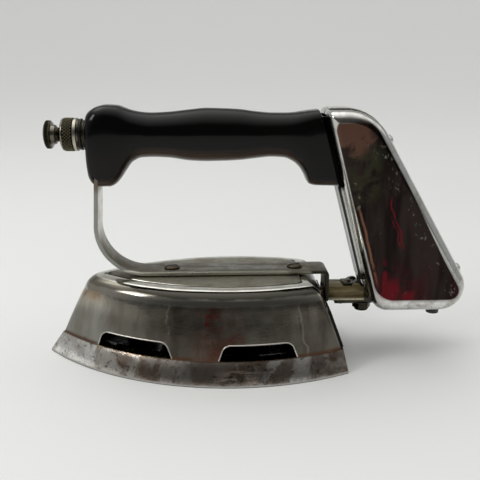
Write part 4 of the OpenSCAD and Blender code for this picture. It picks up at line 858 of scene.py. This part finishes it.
shell = from_rings("shell_form", shell_rings(0.0, SOLE_T, 16))
inner = from_rings("cutter", shell_rings(SHEET_T, SOLE_T - 0.001, 10))
boolean(shell, inner)
for wx in (FRONT_WINDOW_X, REAR_WINDOW_X):
    boolean(shell, cutter_y(window_outline(wx), -0.1, 0.1))
for sx in (-0.0137, 0.0635):
    boolean(shell, revolve("cutter", [(-0.01, 0.0027), (0.01, 0.0027)], (sx, 0, DECK_H), "Z", 32))
boolean(shell, revolve("cutter", [(-0.01, 0.0046), (0.02, 0.0046)], (0.083, 0, 0.0375), "X", 32))
smooth(shell.data, 28.0)
paint(dress(shell, "body_shell"), M["shell"])
inner_materials(shell, -0.06, 0.06)


def wall_y(x, z):
    return math.sqrt((SIDE_R - wall_inset(z)) ** 2 - (x - WIDEST_X) ** 2) - SIDE_C


def tube_along(name, points, radius, sides=8):
    """A round wire through points."""
    curve = bpy.data.curves.new(name, "CURVE")
    curve.dimensions = "3D"
    curve.bevel_depth = radius
    curve.bevel_resolution = sides // 4
    curve.use_fill_caps = True
    spline = curve.splines.new("POLY")
    spline.points.add(len(points) - 1)
    for p, q in zip(spline.points, points):
        p.co = (*q, 1.0)
    obj = link(name + "_curve", curve)
    deps = bpy.context.evaluated_depsgraph_get()
    mesh = bpy.data.meshes.new_from_object(obj.evaluated_get(deps))
    bpy.data.objects.remove(obj)
    smooth(mesh, 60.0)
    return link(name, mesh)


for side, tag in ((-1, "near"), (1, "far")):
    for wx, place in ((FRONT_WINDOW_X, "front"), (REAR_WINDOW_X, "rear")):
        points = window_outline(wx, 0.0002)
        outline = [(x, max(z, SOLE_T + 0.0003)) for x, z in points]
        dense = []
        for (xa, za), (xb, zb) in zip(outline, outline[1:]):
            steps = max(1, int(math.hypot(xb - xa, zb - za) / 0.002))
            dense += [(xa + (xb - xa) * i / steps, za + (zb - za) * i / steps)
                      for i in range(steps)]
        dense.append(outline[-1])
        lip = tube_along(f"air_lip_{tag}_{place}",
                         [(x, side * (wall_y(x, z) - 0.0002), z) for x, z in dense], 0.00045)
        paint(extra(lip, "body_shell"), M["lip"])


# Fuel tank
TANK_R, FRONT_R, TANK_IN = 0.0065, 0.0045, 0.00005
BORE_FROM, BORE_TO, BORE_R = 0.070, 0.1035, 0.00815


def round_corner(p0, p1, p2, r, n):
    p0, p1, p2 = Vector(p0), Vector(p1), Vector(p2)
    u, v = (p0 - p1).normalized(), (p2 - p1).normalized()
    h = u.angle(v) / 2
    c = p1 + (u + v).normalized() * r / math.sin(h)
    s, e = p1 + u * r / math.tan(h) - c, p1 + v * r / math.tan(h) - c
    a = math.atan2(s.y, s.x)
    turn = (math.atan2(e.y, e.x) - a + math.pi) % (2 * math.pi) - math.pi
    return [(c.x + r * math.cos(a + turn * i / n), c.y + r * math.sin(a + turn * i / n))
            for i in range(n + 1)]


def tank_outline(front, inset):
    zt, zl = TOP_Z - inset, LOW_Z + inset
    f = front * math.sqrt(1 + FS * FS)
    g = inset * math.sqrt(1 + RS * RS)
    face = lambda z: FRONT_X + FS * (TOP_Z - z) + f
    rear = lambda z: FRONT_X + TOP_LEN + RS * (TOP_Z - z) - g
    a, b, c, d = (face(zt), zt), (rear(zt), zt), (rear(zl), zl), (face(zl), zl)

    def straight(p, q, n):
        return [(p[0] + (q[0] - p[0]) * i / n, p[1] + (q[1] - p[1]) * i / n) for i in range(1, n)]

    ra = round_corner(d, a, b, max(0.0032 - front, 0.0006), 8)
    rb = round_corner(a, b, c, 0.028 - inset, 24)
    rc = round_corner(b, c, d, 0.015 - inset, 24)
    rd = round_corner(c, d, a, 0.012 - inset, 20)
    return (ra + straight(ra[-1], rb[0], 4) + rb + straight(rb[-1], rc[0], 16) + rc
            + straight(rc[-1], rd[0], 8) + rd + straight(rd[-1], ra[0], 20))


def tank_half(side, name):
    half = 0.020 - TANK_IN
    rings = []
    flat = tank_outline(FRONT_R + 0.0012, TANK_R + 0.0012)
    mid = (sum(p[0] for p in flat) / len(flat), sum(p[1] for p in flat) / len(flat))
    for k in (0.02, 0.25, 0.5, 0.75, 0.93):
        rings.append([(mid[0] + (x - mid[0]) * k, side * half, mid[1] + (z - mid[1]) * k)
                      for x, z in flat])
    rings.append([(x, side * half, z) for x, z in flat])
    steps = 16
    for i in range(steps + 1):
        a = math.pi / 2 - math.pi / 2 * i / steps
        c = 1 - math.cos(a)
        rings.append([(x, side * (half - TANK_R + TANK_R * math.sin(a)), z)
                      for x, z in tank_outline(FRONT_R * c + TANK_IN, TANK_R * c + TANK_IN)])
    for y, groove in ((0.009, 0), (0.0018, 0), (0.0009, 0.00005), (0.0004, 0.0002), (0.0, 0.0005)):
        inset = TANK_IN + groove
        rings.append([(x, side * y, z) for x, z in tank_outline(inset, inset)])
    obj = from_rings(name, rings, angle=50.0)
    # Room for the pump barrel, so the piston never crosses the front wall
    boolean(obj, revolve("cutter", [(BORE_FROM, BORE_R), (BORE_TO, BORE_R)], (0, 0, PUMP_Z), "X", 48))
    smooth(obj.data, 50.0)
    return obj


paint(dress(tank_half(-1, "tank_near_form"), "tank_near_half"), M["tank"])
paint(dress(tank_half(1, "tank_far_form"), "tank_far_half"), M["tank"])


# Handle
STATIONS = [
    (-61.2, 146, 118, 8.5, 3), (-60.4, 150.5, 112.5, 10.5, 3), (-58.3, 153, 109.8, 12, 3.2),
    (-53.8, 155.4, 108.4, 13, 3.4), (-48.8, 156.3, 108.4, 13.2, 3.4), (-45.8, 156.2, 109.4, 13.2, 3.3),
    (-41.8, 155.8, 113.2, 13.2, 3), (-38.5, 154.6, 118, 13, 2.7), (-34.5, 153.2, 123, 12.8, 2.4),
    (-29, 152.1, 125.4, 12.6, 2.2), (-23, 151.6, 125.6, 12.6, 2.1),
    (-13.7, 152, 125.2, 12.8, 2.1), (0, 153.4, 123.3, 13.4, 2.1), (9, 154.2, 122.9, 13.7, 2.1),
    (18, 154, 123, 13.7, 2.1), (29, 153.4, 123.5, 13.3, 2.1), (38, 152.2, 124.5, 12.9, 2.1),
    (47.5, 151.4, 125.4, 12.6, 2.2), (55, 151.3, 125, 12.6, 2.3), (60.4, 151.5, 122.8, 12.8, 2.5),
    (64, 152, 119.8, 13, 2.8), (67.2, 152.4, 115, 13.2, 3.2), (70, 152.8, 109.6, 13.4, 3.6),
    (74, 153.2, 108.6, 13.4, 4), (92, 155, 108, 13.4, 4),
]


def handle_form():
    xs = np.array([s[0] for s in STATIONS])
    table = np.array([s[1:] for s in STATIONS])
    grid = np.unique(np.concatenate([xs, np.linspace(-61.2, -57, 14), np.linspace(-57, 92, 150)]))

    def hermite(x):
        k = int(np.clip(np.searchsorted(xs, x) - 1, 0, len(xs) - 2))
        h = xs[k + 1] - xs[k]
        t = (x - xs[k]) / h

        def slope(i):
            if i == 0 or i == len(xs) - 1:
                j = min(max(i, 1), len(xs) - 1)
                return (table[j] - table[j - 1]) / (xs[j] - xs[j - 1])
            s0 = (table[i] - table[i - 1]) / (xs[i] - xs[i - 1])
            s1 = (table[i + 1] - table[i]) / (xs[i + 1] - xs[i])
            both = np.where(s0 * s1 > 0, 2 * s0 * s1 / (s0 + s1 + 1e-12), 0.0)
            return both

        a, b = slope(k) * h, slope(k + 1) * h
        return ((2 * t ** 3 - 3 * t * t + 1) * table[k] + (t ** 3 - 2 * t * t + t) * a
                + (3 * t * t - 2 * t ** 3) * table[k + 1] + (t ** 3 - t * t) * b)

    rings = []
    for x in grid:
        top, low, half, power = hermite(x)
        mid, hh, e = (top + low) / 2, (top - low) / 2, 2 / power
        ring = []
        for i in range(72):
            a = 2 * math.pi * i / 72
            c, s = math.cos(a), math.sin(a)
            ring.append((x / 1000, half * math.copysign(abs(c) ** e, c) / 1000,
                         (mid + hh * math.copysign(abs(s) ** e, s)) / 1000))
        rings.append(ring)
    obj = from_rings("handle_form", rings, angle=60.0)
    gap = 0.00305
    quad = [(FRONT_X + FS * (TOP_Z - z) - gap + d, z)
            for z, d in ((0.09, 0), (0.09, 0.05), (0.17, 0.05), (0.17, 0))]
    boolean(obj, cutter_y(quad, -0.05, 0.05))
    boolean(obj, revolve("cutter", [(-0.09, 0.0084), (0.1, 0.0084)], (0, 0, PUMP_Z), "X", 48))
    slot = [(-0.0585, 0.1), (-0.0554, 0.1), (-0.0528, 0.140), (-0.0559, 0.140)]
    boolean(obj, cutter_y(slot, -0.0109, 0.0109))
    bm = bmesh.new()
    bm.from_mesh(obj.data)
    bmesh.ops.dissolve_degenerate(bm, dist=1e-6, edges=bm.edges)
    bm.to_mesh(obj.data)
    bm.free()
    smooth(obj.data, 42.0)
    return obj


paint(dress(handle_form(), "handle"), M["handle"])


# Air pump
def turned_x(name, rings_at, angle=75.0):
    """A skin around the pump's axis: rows of (x, radius at each step)."""
    rings = []
    for x, radii in rings_at:
        n = len(radii)
        rings.append([(x, r * math.cos(2 * math.pi * i / n), PUMP_Z + r * math.sin(2 * math.pi * i / n))
                      for i, r in enumerate(radii)])
    return from_rings(name, rings, angle=angle)


def knurl_depth(u, v):
    """Depth, from 0 to 1, of the two crossing sets of grooves of a knurl."""
    p, q = (u + v) % 1.0, (u - v) % 1.0
    return max(0.0, 1 - 3.4 * min(p, 1 - p), 1 - 3.4 * min(q, 1 - q))


def knurled(name, x0, x1, r, depth, rows, around, fade=0.0006):
    """A ring with a diamond knurl."""
    steps, cols = around * 10, rows * 10
    rows_at = [(x0, [0.62 * r] * steps)]
    for k in range(cols + 1):
        x = x0 + (x1 - x0) * k / cols
        edge = min((x - x0) / fade, (x1 - x) / fade, 1.0)
        rows_at.append((x, [r - (1 - edge) * 0.0005 - depth * edge * knurl_depth(i / 10, rows * k / cols)
                            for i in range(steps)]))
    rows_at.append((x1, [0.62 * r] * steps))
    return turned_x(name, rows_at)


RING_X, RING_LEN = CAP_REAR + 0.0003, 0.0013
cap = knurled("pump_cap_form", CAP_FRONT + 0.0012, CAP_REAR - 0.0032, CAP_R, 0.0008, 3, 32)
paint(dress(cap, "pump_cap"), M["knurl"])
rim = revolve("pump_cap_rim", [(0.0, 0.0026), (0.0, 0.0086), (0.0003, 0.0091), (0.0008, 0.0095),
                               (0.0012, 0.00955), (0.0014, 0.0093), (0.0014, 0.0026)],
              (CAP_FRONT, 0, PUMP_Z), "X", 96)
paint(extra(rim, "pump_cap"), M["pump_bright"])
tail = revolve("pump_cap_skirt", [(0.0, 0.0082), (0.0, 0.0091), (0.0002, 0.0095),
                                  (0.0004, 0.0097), (0.0020, 0.0097), (0.0022, 0.0095),
                                  (0.0023, 0.0091), (0.0030, 0.0090), (0.0033, 0.0088),
                                  (0.0033, 0.0082)], (CAP_REAR - 0.0033, 0, PUMP_Z), "X", 96)
paint(extra(tail, "pump_cap"), M["pump_cream"])
ring = revolve("lock_ring_form", [(0.0, BARREL_R), (0.0, 0.0089), (0.0002, 0.0092),
                                  (0.0011, 0.0092), (RING_LEN, 0.0089), (RING_LEN, BARREL_R)],
               (RING_X, 0, PUMP_Z), "X", 96)
paint(dress(ring, "lock_ring"), M["ring"])

# Thread on the barrel between the lock ring and the handle
THREAD_PITCH, THREAD_CREST, THREAD_ROOT = 0.0009, 0.00834, 0.00795
thread_x0, thread_x1 = RING_X + RING_LEN, -0.0600
thread_cols = int((thread_x1 - thread_x0) / THREAD_PITCH * 8)
thread_rows = []
for k in range(thread_cols + 1):
    x = thread_x0 + (thread_x1 - thread_x0) * k / thread_cols
    turn = (x - thread_x0) / THREAD_PITCH
    thread_rows.append((x, [THREAD_ROOT + (THREAD_CREST - THREAD_ROOT)
                            * abs(2 * ((turn + i / 72) % 1.0) - 1) for i in range(72)]))
paint(extra(turned_x("barrel_thread", thread_rows, 60.0), "pump_barrel"), M["ring"])

profile = [(0.0, 0.0001), (0.0, 0.0058), (0.0002, 0.0066), (0.0005, 0.0074), (0.0009, 0.0079)]
profile += [(0.0011 + 0.0022 * i / 12, KNOB_R) for i in range(13)]
profile += [(0.0036, 0.0080), (0.0039, 0.0077), (KNOB_RIM, 0.0074), (KNOB_RIM, 0.0059),
            (0.0043, 0.0058), (0.0060, 0.0057), (0.0064, 0.0055), (0.0066, 0.0052),
            (0.0066, 0.0043), (0.0068, 0.0042), (0.0083, 0.0041), (0.0086, 0.0038),
            (0.0087, 0.0030), (KNOB_BASE - KNOB_FRONT, 0.0029)]
knob_rows = []
for along, r in profile:
    cut_in = 0.0006 if 0.0010 <= along <= 0.0034 else 0.0
    knob_rows.append((KNOB_FRONT + along,
                      [r - cut_in * knurl_depth(i / 6, along / 0.0012) for i in range(240)]))
knob = turned_x("pump_knob_form", knob_rows, 50.0)
paint(dress(knob, "pump_knob"), M["knob_metal"])


# Remaining CAD nodes with small rounded edges
REFINED = {
    "sole_plate": (0.0003, "sole"), "heel_plate": (0.00025, "heel"), "frame_bar": (0.0006, "bar"),
    "bar_spacers": (0.0001, "arm"), "frame_screws": (0.00018, "screw"), "rear_arm": (0.00022, "arm"),
    "arm_rivets": (0.00015, "screw"), "rear_support": (0.0002, "support"),
    "valve_body": (0.00025, "olive"), "strainer_cap": (0.0003, "olive"),
    "packing_nut": (0.00025, "olive"), "valve_knob": (0.00025, "knob"),
    "filler_plug": (0.0003, "knob"), "filler_collar": (0.0002, "brass"),
    "burner": (0.0005, "burner"), "burner_screws": (0.00015, "screw"),
    "tank_band": (0.0002, "band"), "gas_jet": (0.0002, "brass"), "mixing_tube": (0.0002, "tube"),
    "piston_nut": (0.0002, "brass"), "clamp_screw": (0.0002, "ring"),
}
for node, (width, mat) in REFINED.items():
    paint(refine(node, width), M[mat])

KEPT = {
    "support_rivet": "screw", "generator_tube": "tube", "strainer": "brass",
    "strainer_gasket": "seal", "valve_needle": "rod", "valve_stem": "rod", "tank_feet": "tank",
    "tank_outlet": "brass", "filler_gasket": "seal", "pump_barrel": "pump", "rod_guide": "brass",
    "pump_rod": "rod", "piston_cup": "leather", "piston_backing": "brass", "check_cage": "brass",
    "check_ball": "rod",
}
for node, mat in KEPT.items():
    obj = frame["nodes"][node]
    for slot in obj.material_slots:
        slot.material = M[mat]
    if not obj.material_slots:
        obj.data.materials.append(M[mat])


# Floor, backdrop and light
def stage_plane():
    pts = [(y, 0.0) for y in (-4.0, -1.0, 0.0, 0.4, 0.6, 0.7, 0.8, 0.85)]
    lean = math.radians(78)
    for i in range(17):
        a = lean * i / 16
        pts.append((0.9 + 1.6 * math.sin(a), 1.6 - 1.6 * math.cos(a)))
    pts += [(pts[-1][0] + d * math.cos(lean), pts[-1][1] + d * math.sin(lean)) for d in (0.1, 0.4, 1.7)]
    verts = [(x, y, z) for x in np.linspace(-3.0, 3.0, 3) for y, z in pts]
    n = len(pts)
    faces = [(k * n + i, k * n + i + 1, (k + 1) * n + i + 1, (k + 1) * n + i)
             for k in range(2) for i in range(n - 1)]
    mesh = bpy.data.meshes.new("floor")
    mesh.from_pydata(verts, [], faces)
    smooth(mesh, 60.0)
    return link("floor", mesh)


floor = stage_plane()
n = Nodes("floor_look")
paper = n.mix(n.noise(3.0, 3, 0.5), (0.775, 0.78, 0.77), (0.795, 0.80, 0.79))
n.finish(n.mix(n.band(n.axis(2), 0.02, 0.5), paper, (0.93, 0.935, 0.93)), 0.8, None, 0.0,
         Specular_IOR_Level=0.15)
floor.data.materials.append(n.mat)

# A room that is bright overhead, soft at the sides and dim in front above the horizon
TOP, SIDE, FRONT, HORIZON = 1.6, 0.42, 0.10, 0.27
world = bpy.data.worlds.new("studio")
bpy.context.scene.world = world
world.use_nodes = True
tree = world.node_tree
back = tree.nodes["Background"]
coord = tree.nodes.new("ShaderNodeTexCoord")
split = tree.nodes.new("ShaderNodeSeparateXYZ")
tree.links.new(coord.outputs["Generated"], split.inputs[0])


def sky(value, low, high, out_low, out_high):
    node = tree.nodes.new("ShaderNodeMapRange")
    node.interpolation_type = "SMOOTHSTEP"
    for key, v in (("From Min", low), ("From Max", high), ("To Min", out_low), ("To Max", out_high)):
        node.inputs[key].default_value = v
    tree.links.new(value, node.inputs["Value"])
    return node.outputs["Result"]


def sky_math(op, a, b):
    node = tree.nodes.new("ShaderNodeMath")
    node.operation = op
    for k, v in enumerate((a, b)):
        if isinstance(v, (int, float)):
            node.inputs[k].default_value = v
        else:
            tree.links.new(v, node.inputs[k])
    return node.outputs[0]


top_part = sky_math("MULTIPLY", sky(split.outputs[2], 0.62, 0.97, 0.0, TOP),
                    sky(split.outputs[1], -0.50, 0.20, 0.42, 1.0))
top_part = sky_math("MULTIPLY", top_part, sky(split.outputs[0], -0.7, 0.6, 1.20, 0.80))
toward = tree.nodes.new("ShaderNodeVectorMath")
toward.operation = "DOT_PRODUCT"
toward.inputs[1].default_value = (0.80, 0.02, 0.60)
tree.links.new(coord.outputs["Generated"], toward.inputs[0])
top_part = sky_math("ADD", top_part, sky(toward.outputs["Value"], 0.93, 0.98, 0.0, 0.6))
wide_part = sky(split.outputs[1], -0.85, -0.25, FRONT, SIDE)
horizon_part = sky(split.outputs[2], 0.16, 0.02, 0.0, HORIZON - FRONT)
tree.links.new(sky_math("ADD", top_part, sky_math("MAXIMUM", wide_part, horizon_part)),
               back.inputs["Strength"])
back.inputs["Color"].default_value = (1.0, 1.0, 0.985, 1.0)


def area(name, place, aim, size, power, color=(1, 1, 1)):
    data = bpy.data.lights.new(name, "AREA")
    data.shape = "RECTANGLE"
    data.size, data.size_y = size
    data.energy = power
    data.color = color
    lamp = bpy.data.objects.new(name, data)
    bpy.context.scene.collection.objects.link(lamp)
    lamp.location = place
    lamp.rotation_euler = (Vector(aim) - Vector(place)).to_track_quat("-Z", "Y").to_euler()
    return lamp


area("top_soft", (-0.42, 0.34, 0.90), (0.0, 0.0, 0.0), (0.50, 0.40), 0.7)
area("left_soft", (-0.72, -0.34, 0.70), (0.0, 0.0, 0.10), (0.26, 0.32), 2.1)
